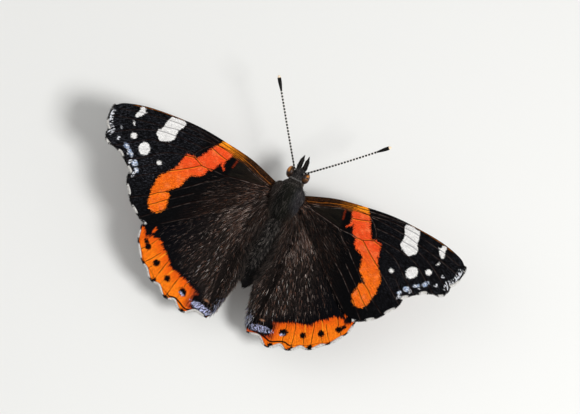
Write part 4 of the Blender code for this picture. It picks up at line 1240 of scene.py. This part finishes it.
def bodyPath():
    rings = [(*ring, 0.0) for ring in body["rings"]]
    length = body["tail"] - body["tailStart"]
    for i in range(body["segments"] * 6):
        s = (i + 0.5) / (body["segments"] * 6)
        girth = 1.28 + 1.9 * s - 1.0 * s ** 2 - 1.62 * s ** 4 - body["coat"]
        girth -= body["groove"] * math.exp(-((s * body["segments"] % 1.0 - 0.5) / 0.16) ** 2)
        middle = -1.45 - 1.5 * s - 1.55 * s ** 2
        girth *= min(1.0, 5.0 * (1.02 - s) ** 0.7)
        rings.append((body["tailStart"] + length * s, girth, middle + 1.0 * girth, middle - 1.0 * girth,
                      body["lean"] * s ** 2))
    rings.append((body["tail"], 0.02, -4.48, -4.52, body["lean"]))
    return smoothPath(rings, 700)


bodyRings = bodyPath()


def bodySurface(u, v):
    y, half, top, bottom, lean = alongPath(bodyRings, np.clip(u, 0, 1)).T
    turn = 2 * np.pi * v
    x = lean + half * np.sin(turn)
    z = (top + bottom) / 2 - (top - bottom) / 2 * np.cos(turn)
    return np.stack([x, y, z], axis=1)


def furColour(places):
    # the coat's colour at a place on the body, for the skin and the hair alike
    x, y, z = places.T
    order = np.argsort(bodyRings[:, 0])
    half, top, bottom = (np.interp(y, bodyRings[order, 0], bodyRings[order, axis]) for axis in (1, 2, 3))
    side = np.clip(np.abs(x) / np.maximum(half, 0.1), 0, 1.3)
    low = smoothStep((top + bottom) / 2 + 0.1 * (top - bottom) - z, 0.0, 0.9)
    c = {name: np.array(colour) for name, colour in bodyShades.items()}

    def over(under, colour, share):
        return under + (colour - under) * np.clip(share, 0, 1)[:, None]
    colour = np.tile(c["thorax"], (len(places), 1))
    colour = over(colour, c["night"], smoothStep(x, -0.3, 0.5) * smoothStep(y, -0.8, 0.6) * 0.6)
    colour = over(colour, c["flank"], smoothStep(side, 0.5, 0.9) * 0.9)
    # painted sheen: the right flank steel grey, lighter where light falls on it
    colour = over(colour, c["steel"], smoothStep(-x, 0.4, 2.2) * smoothStep(3.2 - y, 0.0, 1.8) * 0.7)
    colour = over(colour, c["collar"], smoothStep(-0.9 - y, 0.0, 0.7))
    colour = over(colour, c["head"], smoothStep(-2.5 - y, 0.0, 0.25))
    colour = over(colour, c["night"], np.exp(-((np.abs(x) - 0.62) ** 2 + (y + 3.55) ** 2) / 0.1) * (y < -2.5))
    colour = over(colour, c["abdomen"], smoothStep(y, 4.0, 5.6))
    colour = over(colour, c["night"], smoothStep(y, 11.5, 15.5) * 0.85)
    return over(colour, c["under"], low * 0.8 * smoothStep(18.2 - y, 0.0, 2.0))


def makeSkinFinish():
    material, tree, shader = newMaterial("skinHair")
    lines = noiseValue(tree, placeVector(tree, (60.0, 70.0, 1.0), "flow"), 1.0, 4.0, 0.65)
    fine = noiseValue(tree, placeVector(tree, (1.0, 0.35, 1.0)), 9000.0, 2.0, 0.6)
    both = calc(tree, "ADD", lines, fine)
    colour = blendColours(tree, 1.0, readValue(tree, "coat", "Color"), fade(tree, both, 0.7, 1.3, 0.55, 1.35), "MULTIPLY")
    tree.links.new(colour, shader.inputs["Base Color"])
    tree.links.new(fade(tree, lines, 0.3, 0.7, 0.5, 0.75), shader.inputs["Roughness"])
    shader.inputs["Specular IOR Level"].default_value = 0.2
    addBump(tree, shader, both, 0.6, 0.00005)
    return material


skinFinish = makeSkinFinish()


def makeBody():
    mesh = wrapSurface("body_skin", bodySurface, 420, 84)
    places = meshPlaces(mesh)
    putColours(mesh, "coat", furColour(places) * 0.8)
    setPlaces(mesh, toFrame(places))
    return addPiece("body_skin", mesh, [skinFinish], "body_fur", ["head", "thorax", "abdomen"])


eye = {"centre": (1.38, -3.45, -0.95), "radii": (0.76, 1.08, 1.22), "facet": 0.045}


def eyeRadius(places, grow=0.0):
    # how far places lie from the nearer eye's middle, 1 on its surface
    centre, radii = np.array(eye["centre"]), np.array(eye["radii"]) + grow
    mirrored = places * (1, 1, 1)
    mirrored[:, 0] = np.abs(mirrored[:, 0])
    return np.linalg.norm((mirrored - centre) / radii, axis=1)


bodyCoat = [                          # hair on the body: its reach in y, count, length, width, lift
    {"name": "head_hair", "from": -4.8, "to": -2.3, "count": 4600, "length": (0.22, 0.46), "width": (0.03, 0.055),
     "lift": (0.25, 0.6), "grey": (0.1, 0.6)},
    {"name": "collar_hair", "from": -2.6, "to": -0.6, "count": 4600, "length": (0.45, 0.8), "width": (0.035, 0.06),
     "lift": (0.15, 0.45), "grey": (0.12, 0.55)},
    {"name": "thorax_hair", "from": -0.9, "to": 5.0, "count": 12000, "length": (0.8, 1.5), "width": (0.04, 0.07),
     "lift": (0.05, 0.3), "grey": (0.08, 0.5)},
    {"name": "abdomen_hair", "from": 4.6, "to": 17.6, "count": 13500, "length": (0.6, 1.1), "width": (0.035, 0.065),
     "lift": (0.12, 0.5), "grey": (0.16, 0.85)},
]


def coatBody(part):
    def density(places, u, v):
        y = places[:, 1]
        inside = smoothStep(y, part["from"], part["from"] + 0.3) * smoothStep(part["to"] - y, 0.0, 0.3)
        return inside * (eyeRadius(places, 0.1) > 1.0)
    spots = coatSpots(bodySurface, part["count"], density)
    places = spots["place"]
    x, y, z = places.T
    count = len(x)
    forward = smoothStep(-3.5 - y, 0.0, 0.5)[:, None]
    splay = 0.22 * smoothStep(np.abs(x), 0.0, 2.0) + 0.45 * smoothStep(np.abs(x), 1.5, 2.3) * smoothStep(y, -0.8, 1.0)
    if part["name"] == "collar_hair":
        splay = 0.9 * smoothStep(np.abs(x), 0.7, 1.3)
    if part["name"] == "abdomen_hair":
        splay = 0.15 + 0.85 * smoothStep(np.abs(x), 0.5, 1.2)
    back = np.stack([np.sign(x) * splay, np.ones(count), np.zeros(count)], axis=1)
    ahead = np.stack([0.1 * x, -np.ones(count), 0.35 * np.ones(count)], axis=1)
    directions = back * (1 - forward) + ahead * forward
    directions = directions + spots["across"] * spread(count, -0.25, 0.25)[:, None]
    length = spread(count, *part["length"])
    # the hair lies in small clumps, lighter and darker
    clumps = 1 + 0.3 * np.sin(3.1 * x + 1.3 * y) * np.sin(2.3 * y - 1.7 * x + 1.0)
    if part["name"] == "thorax_hair":
        length = length * (1 + 0.75 * smoothStep(y, 2.0, 4.5)) * (0.6 + 0.4 * smoothStep(y, -0.8, 1.5))
        length = length * (1 + 0.5 * smoothStep(np.abs(x), 1.4, 2.2) * smoothStep(y, 0.0, 1.5))
    if part["name"] == "collar_hair":
        length = length * (1 + 0.6 * smoothStep(np.abs(x), 0.9, 1.4))
    if part["name"] == "abdomen_hair":
        length = length * (1 + 0.85 * smoothStep(np.abs(x), 0.7, 1.3) * smoothStep(15.0 - y, 0.0, 5.0))
    share, strength = part["grey"]
    greyed = (dice.random(count) < share * smoothStep(16.5 - y, 0.0, 4.0)) * spread(count, 0.2, 1.0) * strength
    looks = {"length": length, "width": spread(count, *part["width"]) * (1 + 0.4 * greyed), "lift": spread(count, *part["lift"]),
             "droop": 0.12, "sway": spread(count, -0.18, 0.18)}
    colours = furColour(places) * (clumps * (0.35 + 1.6 * dice.random(count) ** 1.5))[:, None]
    colours = colours + (np.array(bodyShades["grey"]) - colours) * greyed[:, None]
    return makeTufts(part["name"], spots, directions, looks, colours, "body_fur")


makeBody()
for part in bodyCoat:
    coatBody(part)
print("body ready")


def ridgeHair():
    # thin pale lines of hair behind the head and behind the collar, and cream tufts over the wing hinges
    count = 900
    pick = dice.random(count)
    line = np.where(pick < 0.42, 0, np.where(pick < 0.68, 1, 2))
    v = 0.5 + np.where(line == 0, spread(count, -0.24, 0.24), np.where(line == 1, spread(count, -0.2, 0.2),
                                                                      spread(count, 0.16, 0.24)
                                                                      * np.where(dice.random(count) < 0.5, 1, -1)))
    y = np.where(line == 0, -2.5 - 0.12 * np.abs(v - 0.5) * 4, np.where(line == 1, -1.35, spread(count, 0.6, 3.2)))
    order = np.argsort(bodyRings[:, 0])
    u = np.interp(y + spread(count, -0.05, 0.05), bodyRings[order, 0], np.linspace(0, 1, len(bodyRings))[order])
    places = bodySurface(u, v)
    normals = unit(np.cross(bodySurface(u + 0.002, v) - bodySurface(u - 0.002, v),
                            bodySurface(u, v + 0.004) - bodySurface(u, v - 0.004)))
    spots = {"place": places, "normal": normals, "u": u, "v": v}
    x = places[:, 0]
    directions = np.stack([np.where(line == 2, 0.35 * np.sign(x), 0.1 * x), np.ones(count), np.zeros(count)], axis=1)
    pale = np.array([srgb(150, 146, 142), srgb(112, 106, 102), srgb(150, 128, 114)])[line]
    length = np.where(line == 2, spread(count, 0.7, 1.5), spread(count, 0.28, 0.5))
    looks = {"length": length, "width": spread(count, 0.03, 0.05), "lift": np.where(line == 2, 0.2, 0.75),
             "droop": 0.3, "sway": spread(count, -0.2, 0.2)}
    return makeTufts("pale_hair", spots, directions, looks, pale * spread(count, 0.3, 1.1)[:, None], "body_fur")


def makeTegula(side):
    # the scaly flap over the front wing's hinge, and its hair
    s = sides[side]
    centre, radii = np.array([2.02 * s, 0.35, 0.1]), np.array([0.66, 1.4, 0.44])

    def surface(u, v):
        polar, turn = np.pi * np.clip(u, 0, 1), 2 * np.pi * v
        local = np.stack([np.sin(polar) * np.sin(turn) * s, -np.cos(polar), -np.sin(polar) * np.cos(turn)], axis=1)
        return centre + local * radii
    mesh = wrapSurface(f"tegula_{side}", surface, 36, 30)
    places = meshPlaces(mesh)
    shade = np.array(bodyShades["flank"])
    # the right one takes the steel grey of the right flank: painted sheen
    if side == "right":
        shade = 0.5 * shade + 0.5 * np.array(bodyShades["steel"])
    putColours(mesh, "coat", np.tile(shade * 0.7, (len(places), 1)))
    setPlaces(mesh, toFrame(places))
    addPiece(f"tegula_{side}", mesh, [skinFinish], "body_fur")
    spots = coatSpots(surface, 1600, lambda p, u, v: p[:, 2] > centre[2] - 0.25, s)
    count = len(spots["u"])
    outer = smoothStep(spots["place"][:, 0] * s, 2.0, 2.6)
    directions = np.stack([(0.2 + 0.5 * outer) * s, np.ones(count), np.full(count, -0.05)], axis=1)
    greyed = (dice.random(count) < 0.1) * spread(count, 0.1, 0.6)
    looks = {"length": spread(count, 0.5, 1.2) * (1 + 0.4 * outer), "width": spread(count, 0.035, 0.06) * (1 + greyed),
             "lift": spread(count, 0.05, 0.3), "droop": 0.12, "sway": spread(count, -0.15, 0.15)}
    colours = shade * (0.35 + 1.5 * dice.random(count) ** 1.4)[:, None]
    colours = colours + (np.array(bodyShades["grey"]) - colours) * greyed[:, None]
    makeTufts(f"tegula_hair_{side}", spots, directions, looks, colours, "body_fur")


ridgeHair()
for side in sides:
    makeTegula(side)
print("collar and hinge covers ready")


# Eyes
def makeEyeFinish():
    material, tree, shader = newMaterial("eyeFacets")
    vector = placeVector(tree, (1, 1, 1))
    cells = tree.nodes.new("ShaderNodeTexVoronoi")
    cells.inputs["Scale"].default_value = 1000 / eye["facet"]
    cells.inputs["Randomness"].default_value = 0.25
    tree.links.new(vector, cells.inputs["Vector"])
    warp = noiseValue(tree, vector, 1100.0, 2.0, 0.5)
    patches = noiseValue(tree, placeVector(tree, (500, 1900, 700)), 1.0, 1.0, 0.5)
    amber = blendColours(tree, fade(tree, warp, 0.35, 0.65), srgb(112, 60, 20), srgb(196, 124, 40))
    colour = blendColours(tree, fade(tree, patches, 0.57, 0.46, 0.0, 0.95), amber, srgb(22, 13, 9))
    # painted shade on the eye from its dark values
    colour = blendColours(tree, fade(tree, readValue(tree, "dark"), 0.0, 1.0, 0.0, 0.9), colour, srgb(24, 16, 12))
    tree.links.new(colour, shader.inputs["Base Color"])
    tree.links.new(fade(tree, cells.outputs["Distance"], 0.2, 0.7, 0.25, 0.45), shader.inputs["Roughness"])
    shader.inputs["Specular IOR Level"].default_value = 0.28
    shader.inputs["Coat Weight"].default_value = 0.08
    shader.inputs["Coat Roughness"].default_value = 0.12
    addBump(tree, shader, calc(tree, "SUBTRACT", 1.0, cells.outputs["Distance"]), 0.5, 0.00002)
    return material


eyeFinish = makeEyeFinish()


def makeEye(side):
    bm = bmesh.new()
    bmesh.ops.create_uvsphere(bm, u_segments=72, v_segments=44, radius=1.0)
    bmesh.ops.rotate(bm, verts=bm.verts, matrix=Matrix.Rotation(math.radians(90), 3, "Y"))
    bmesh.ops.scale(bm, verts=bm.verts, vec=eye["radii"])
    mesh = bpy.data.meshes.new(f"eye_{side}")
    bm.to_mesh(mesh)
    bm.free()
    places = meshPlaces(mesh) + eye["centre"]
    # darker at the back, on the inner side and underneath: painted shade where the eye meets the head and faces down
    dark = np.maximum(smoothStep(places[:, 1], -3.4, -2.8), smoothStep(1.75 - places[:, 0], 0.0, 0.4))
    dark = np.maximum(dark, smoothStep(-1.3 - places[:, 2], 0.0, 0.6) * 0.6)
    if side == "right":
        places[:, 0] *= -1
        mesh.flip_normals()
    putValues(mesh, "dark", dark)
    setPlaces(mesh, toFrame(places))
    return addPiece(f"eye_{side}", mesh, [eyeFinish], "eye", [f"eye_{side}"])


def eyeRim(side):
    # short pale scales round the eye
    s, count = sides[side], 420
    turn = 2 * np.pi * dice.random(count)
    centre, radii = np.array(eye["centre"]), np.array(eye["radii"])
    local = np.stack([np.full(count, -0.72) + 0.12 * dice.random(count), np.cos(turn), np.sin(turn)], axis=1)
    local[:, 1:] *= np.sqrt(1 - local[:, :1] ** 2)
    places = centre + local * (radii + 0.02)
    normals = unit(local / radii)
    outward = np.tile((1.0, 0.0, 0.0), (count, 1)) + 0.3 * np.stack([0 * turn, -np.sin(turn), np.cos(turn)], axis=1)
    for array in (places, normals, outward):
        array[:, 0] *= s
    spots = {"place": places, "normal": normals, "u": np.full(count, 0.12), "v": 0.5 + 0.2 * s * np.cos(turn) * 0.5}
    looks = {"length": spread(count, 0.14, 0.26), "width": spread(count, 0.035, 0.06), "lift": spread(count, 0.2, 0.5),
             "droop": 0.1}
    shades = mixedColours(count, [(0.3, srgb(112, 104, 96)), (0.7, srgb(40, 36, 34))])
    return makeTufts(f"eye_rim_{side}", spots, outward, looks, shades, "body_fur")


for side in sides:
    makeEye(side)
    eyeRim(side)
print("eyes ready")


# Palps, the snout of two hairy pointed feelers under the head
palp = {
    "path": [(0.42, -4.1, -1.75), (0.5, -4.9, -1.6), (0.5, -5.9, -1.3), (0.44, -7.05, -0.85)],
    "radii": [(0.0, 0.26), (0.35, 0.4), (0.7, 0.34), (1.0, 0.08)], "tufts": 2100,
    "side": srgb(8, 7, 7), "ridge": srgb(52, 46, 42),
}


def mirrored(points, side):
    points = np.array(points, float)
    points[:, 0] *= sides[side]
    return points


def coatedTube(name, path, radii, along, around, colourAt, finish, slot, replaced=()):
    # a closed tube with its colour from a function of its places and of the share along it
    surface = tubeSurface(path, roundEnds(radii))
    mesh = wrapSurface(name, surface, along, around)
    share = np.zeros(len(mesh.vertices))
    mesh.attributes["along"].data.foreach_get("value", share)
    places = meshPlaces(mesh)
    putColours(mesh, "coat", colourAt(places, share))
    setPlaces(mesh, toFrame(places))
    addPiece(name, mesh, [finish], slot, replaced)
    return surface


def makePalp(side):
    path = smoothPath(mirrored(palp["path"], side), 60)

    def colourAt(places, share):
        centre = alongPath(path, share)
        inner = np.exp(-((np.abs(places[:, 0]) - np.abs(centre[:, 0]) + 0.05) / 0.09) ** 2)
        ridge = smoothStep(places[:, 2] - centre[:, 2], 0.08, 0.2) * smoothStep(0.92 - share, 0.0, 0.2) * inner
        return np.array(palp["side"]) * (1 - ridge[:, None]) + np.array(palp["ridge"]) * ridge[:, None]
    surface = coatedTube(f"palp_{side}", path, palp["radii"], 60, 24, colourAt, skinFinish, "body_fur", [f"palp_{side}"])
    spots = coatSpots(surface, palp["tufts"], lambda p, u, v: (u < 0.95) * 1.0, 1)
    count = len(spots["u"])
    outside = np.sign(np.sum((spots["place"] - alongPath(path, spots["u"])) * spots["normal"], axis=1))[:, None]
    spots["normal"] = spots["normal"] * outside
    colours = colourAt(spots["place"], spots["u"]) * spread(count, 0.6, 1.5)[:, None]
    looks = {"length": spread(count, 0.22, 0.5), "width": spread(count, 0.03, 0.055), "lift": spread(count, 0.12, 0.4),
             "droop": 0.1, "sway": spread(count, -0.15, 0.15)}
    makeTufts(f"palp_hair_{side}", spots, spots["along"], looks, colours, "body_fur")


# Antennae: thin ringed shafts with a club at the end
antenna = {
    "base": (0.62, -3.5, -0.1), "tip": {"left": (10.27, -17.12, 3.3), "right": (12.75, -13.76, 3.3)}, "sag": 0.5,
    "radii": [(0.0, 0.18), (0.03, 0.16), (0.1, 0.15), (0.8, 0.15), (0.85, 0.17), (0.885, 0.25), (0.93, 0.33),
              (0.975, 0.325), (1.0, 0.22)],
    "ringLength": 0.55,
}


def makeAntennaFinish():
    material, tree, shader = newMaterial("antennaRings")
    # the rings are counted along the piece: a whole number each
    place = calc(tree, "FRACT", readValue(tree, "ring"))
    ring = calc(tree, "MULTIPLY", fade(tree, place, 0.62, 0.66), fade(tree, place, 0.99, 0.95))
    share = readValue(tree, "along")
    ring = calc(tree, "MULTIPLY", ring, fade(tree, share, 0.845, 0.83))
    ring = calc(tree, "MULTIPLY", ring, fade(tree, share, 0.05, 0.5, 0.3, 1.0))
    grain = noiseValue(tree, placeVector(tree, (1, 1, 1)), 9000.0, 2.0, 0.6)
    dark = blendColours(tree, grain, srgb(4, 4, 4), srgb(14, 12, 11))
    colour = blendColours(tree, ring, dark, srgb(238, 234, 226))
    tip = fade(tree, share, 0.97, 0.98)
    colour = blendColours(tree, tip, colour, srgb(245, 222, 190))
    tree.links.new(colour, shader.inputs["Base Color"])
    tree.links.new(fade(tree, grain, 0.3, 0.7, 0.45, 0.65), shader.inputs["Roughness"])
    shader.inputs["Specular IOR Level"].default_value = 0.12
    addBump(tree, shader, grain, 0.4, 0.00002)
    return material


antennaFinish = makeAntennaFinish()


def makeAntenna(side):
    base, tip = mirrored([antenna["base"], antenna["tip"][side]], side)
    share = np.linspace(0, 1, 120)[:, None]
    path = base + (tip - base) * share
    path[:, 2] -= antenna["sag"] * np.sin(np.pi * share[:, 0])
    length = np.linalg.norm(tip - base)
    surface = tubeSurface(path, roundEnds(antenna["radii"], 0.004, 0.016))
    rings = length / antenna["ringLength"]

    def knotted(u, v):
        # each ring stands a little proud of the joints between them
        places = surface(u, v)
        centre = alongPath(path, np.clip(u, 0, 1))
        swell = 1 + 0.14 * np.cos(2 * np.pi * (u * rings - 0.3)) * (u < 0.84)
        return centre + (places - centre) * swell[:, None]
    mesh = wrapSurface(f"antenna_{side}", knotted, 560, 14)
    along = np.zeros(len(mesh.vertices))
    mesh.attributes["along"].data.foreach_get("value", along)
    putValues(mesh, "ring", along * rings)
    setPlaces(mesh, toFrame(meshPlaces(mesh)))
    return addPiece(f"antenna_{side}", mesh, [antennaFinish], "antenna", [f"antenna_{side}"])


# Proboscis, coiled up under the head
coil = {"centre": (-4.75, -3.55), "radii": (1.05, 0.3), "turns": 2.1, "tube": (0.13, 0.05)}


def makeProboscis():
    share = np.linspace(0, 1, 150)
    turn = 2 * np.pi * coil["turns"] * share
    radius = coil["radii"][0] + (coil["radii"][1] - coil["radii"][0]) * share
    spiral = np.stack([0.05 * np.sin(turn * 0.5), coil["centre"][0] - radius * np.sin(turn),
                       coil["centre"][1] + radius * np.cos(turn)], axis=1)
    root = [(0.0, coil["centre"][0] + 0.75, coil["centre"][1] + 1.75), (0.0, coil["centre"][0] + 0.4,
                                                                        coil["centre"][1] + 1.28)]
    path = smoothPath(np.vstack([root, spiral[3:]]), 240)

    def colourAt(places, share):
        stripe = 0.8 + 0.2 * np.cos(share * 260)
        return np.array(srgb(74, 48, 30)) * stripe[:, None]
    coatedTube("proboscis", path, [(0.0, coil["tube"][0]), (1.0, coil["tube"][1])], 420, 12, colourAt, shellFinish,
               "leg_shell", ["proboscis"])


# Legs: four that it stands on and the two small brush legs folded under the head
floorLevel = -9.2
legs = {
    "midleg": [(0.9, 0.5, -3.0), (5.4, -1.7, -3.3), (7.9, -3.1, -8.75), (10.6, -4.5, -9.03)],
    "hindleg": [(0.9, 3.1, -3.0), (4.5, 6.7, -3.6), (6.7, 10.9, -8.75), (7.9, 13.9, -9.03)],
    "femur": [(0.0, 0.26), (0.3, 0.32), (0.7, 0.25), (1.0, 0.17)],
    "tibia": [(0.0, 0.16), (0.12, 0.19), (0.6, 0.18), (0.94, 0.16), (1.0, 0.12)],
    "tarsusRadius": 0.13, "tarsusJoints": 5,
    "foreleg": [(0.75, -1.0, -2.7), (1.15, -2.1, -3.5), (1.15, -3.2, -3.75), (0.95, -4.0, -3.6)],
    "forelegRadii": [(0.0, 0.2), (0.4, 0.22), (0.8, 0.2), (1.0, 0.1)],
    "femurShade": srgb(84, 72, 62), "shinShade": srgb(156, 130, 98), "dark": srgb(46, 34, 26),
}


def makeShellFinish():
    material, tree, shader = newMaterial("legShell")
    grain = noiseValue(tree, placeVector(tree, (1, 1, 1)), 4200.0, 3.0, 0.6)
    colour = blendColours(tree, 1.0, readValue(tree, "coat", "Color"), fade(tree, grain, 0.3, 0.7, 0.7, 1.25), "MULTIPLY")
    tree.links.new(colour, shader.inputs["Base Color"])
    tree.links.new(fade(tree, grain, 0.3, 0.7, 0.35, 0.55), shader.inputs["Roughness"])
    shader.inputs["Specular IOR Level"].default_value = 0.35
    addBump(tree, shader, grain, 0.5, 0.00003)
    return material


shellFinish = makeShellFinish()


def tarsusRadii():
    # five joints, each swelling towards its end, and none thicker than the foot's height above the floor
    radii = []
    starts = np.array([0.0, 0.4, 0.58, 0.71, 0.82, 1.0])
    for i, (start, end) in enumerate(zip(starts, starts[1:])):
        size = legs["tarsusRadius"] * (1 - 0.05 * i)
        radii += [(start + 0.01, size * 0.72), (start + 0.35 * (end - start), size * 0.85), (end - 0.02, size)]
    return radii


def hairOn(surface, path, count, length, width, lift, colour, density=None):
    spots = coatSpots(surface, count, density)
    middle = alongPath(path, spots["u"])
    outside = np.sign(np.sum((spots["place"] - middle) * spots["normal"], axis=1))[:, None]
    spots["normal"] = spots["normal"] * outside
    count = len(spots["u"])
    looks = {"length": spread(count, *length), "width": spread(count, *width), "lift": spread(count, *lift),
             "droop": np.full(count, 0.05), "sway": spread(count, -0.1, 0.1)}
    return spots, spots["along"], looks, np.array(colour) * spread(count, 0.6, 1.4)[:, None]


def joinHair(name, sets, slot):
    # several patches of hair as one piece
    spots = {key: np.concatenate([part[0][key] for part in sets]) for key in ("place", "normal", "u", "v")}
    directions = np.concatenate([part[1] for part in sets])
    looks = {key: np.concatenate([part[2][key] for part in sets]) for key in sets[0][2]}
    return makeTufts(name, spots, directions, looks, np.concatenate([part[3] for part in sets]), slot)


def makeLeg(name, side):
    hip, knee, ankle, toe = mirrored(legs[name], side)
    out = sides[side]
    paths = {
        "femur": smoothPath([hip, (hip + knee) / 2 + (0, 0, 0.35), knee], 40),
        "tibia": smoothPath([knee, (knee + ankle) / 2 + (0.25 * out, 0, 0), ankle], 40),
    }
    low = floorLevel + legs["tarsusRadius"] + 0.01
    run = toe - ankle
    foot = [ankle, ankle + run * 0.12 + (0, 0, -0.06), ankle + run * 0.45, toe]
    foot = np.array(foot)
    foot[1:, 2] = (low + 0.12, low, low)
    paths["tarsus"] = smoothPath(foot, 60)
    sets = []
    for part, path in paths.items():
        radii = tarsusRadii() if part == "tarsus" else legs[part]
        shade = np.array(legs["femurShade"] if part == "femur" else legs["shinShade"])

        def colourAt(places, share):
            knuckle = np.exp(-((share - 0.0) / 0.05) ** 2) + np.exp(-((share - 1.0) / 0.05) ** 2)
            return shade * (1 - 0.55 * np.clip(knuckle, 0, 1))[:, None]
        rows = {"femur": 70, "tibia": 80, "tarsus": 130}[part]
        surface = coatedTube(f"{name}_{part}_{side}", path, radii, rows, 16, colourAt, shellFinish, "leg_shell",
                             [f"{name}_{part}_{side}"])
        count = {"femur": 700, "tibia": 420, "tarsus": 220}[part]
        length = {"femur": (0.25, 0.6), "tibia": (0.16, 0.34), "tarsus": (0.08, 0.16)}[part]
        # none under the foot
        density = (lambda p, u, v: p[:, 2] > low - 0.03) if part == "tarsus" else None
        sets.append(hairOn(surface, path, count, length, (0.03, 0.06), (0.2, 0.6), shade * 1.05, density))
    # spines along the shin and two claws
    spines = 26
    share = np.linspace(0.1, 0.98, spines)
    middle = alongPath(paths["tibia"], share)
    along = unit(np.gradient(middle, axis=0))
    around = unit(np.cross(along, (0, 0, 1)) * np.where(np.arange(spines) % 2, 1, -1)[:, None] + (0, 0, -0.3))
    spots = {"place": middle + around * 0.13, "normal": around, "u": share, "v": np.full(spines, 0.5)}
    looks = {"length": np.full(spines, 0.42), "width": np.full(spines, 0.07), "lift": np.full(spines, 0.55),
             "droop": np.zeros(spines), "sway": np.zeros(spines)}
    sets.append((spots, along, looks, np.tile(legs["dark"], (spines, 1))))
    ahead = unit(np.tile(run * (1, 1, 0), (2, 1)))
    aside = np.cross(ahead, (0, 0, 1)) * np.array([[0.5], [-0.5]])
    spots = {"place": np.tile((toe[0], toe[1], low + 0.05), (2, 1)), "normal": np.tile((0.0, 0.0, 1.0), (2, 1)),
             "u": np.full(2, 0.98), "v": np.array([0.4, 0.6])}
    looks = {"length": np.full(2, 0.32), "width": np.full(2, 0.08), "lift": np.full(2, 0.25), "droop": np.full(2, 0.6),
             "sway": np.zeros(2)}
    sets.append((spots, ahead + aside, looks, np.tile(legs["dark"], (2, 1))))
    return sets


def makeForeleg(side):
    path = smoothPath(mirrored(legs["foreleg"], side), 50)
    shade = np.array(bodyShades["under"]) * 0.8

    def colourAt(places, share):
        return np.tile(shade, (len(places), 1))
    surface = coatedTube(f"foreleg_{side}", path, legs["forelegRadii"], 60, 20, colourAt, skinFinish, "body_fur",
                         [f"foreleg_{side}"])
    return hairOn(surface, path, 1100, (0.3, 0.6), (0.04, 0.07), (0.15, 0.5), shade * 1.2)


makeProboscis()
for side in sides:
    makePalp(side)
    makeAntenna(side)
    joinHair(f"leg_hair_{side}", makeLeg("midleg", side) + makeLeg("hindleg", side) + [makeForeleg(side)], "leg_shell")
print("head parts and legs ready")


# Floor and light
studio = {
    "floor": (0.80, 0.80, 0.78), "floorSize": 4.0, "world": 0.42,
    "key": {"place": (-0.34, 0.06, 0.46), "size": 0.16, "power": 2.6},
    "fill": {"place": (0.40, 0.10, 0.40), "size": 0.5, "power": 0.5},
}


def makeStudio():
    material, tree, shader = newMaterial("floor")
    shader.inputs["Base Color"].default_value = (*studio["floor"], 1)
    shader.inputs["Roughness"].default_value = 0.85
    bm = bmesh.new()
    bmesh.ops.create_grid(bm, x_segments=1, y_segments=1, size=studio["floorSize"] / 2)
    mesh = bpy.data.meshes.new("floor")
    bm.to_mesh(mesh)
    bm.free()
    mesh.materials.append(material)
    floor = bpy.data.objects.new("floor", mesh)
    bpy.context.scene.collection.objects.link(floor)
    world = bpy.data.worlds.new("studio")
    bpy.context.scene.world = world
    world.use_nodes = True
    world.node_tree.nodes["Background"].inputs["Color"].default_value = (1, 1, 1, 1)
    world.node_tree.nodes["Background"].inputs["Strength"].default_value = studio["world"]
    for name in ("key", "fill"):
        lamp = studio[name]
        data = bpy.data.lights.new(name, "AREA")
        data.size = lamp["size"]
        data.energy = lamp["power"]
        light = bpy.data.objects.new(name, data)
        bpy.context.scene.collection.objects.link(light)
        light.location = lamp["place"]
        light.rotation_euler = (-Vector(lamp["place"])).to_track_quat("-Z", "Y").to_euler()


makeStudio()
bpy.context.scene.view_settings.view_transform = "Standard"
print("studio ready")
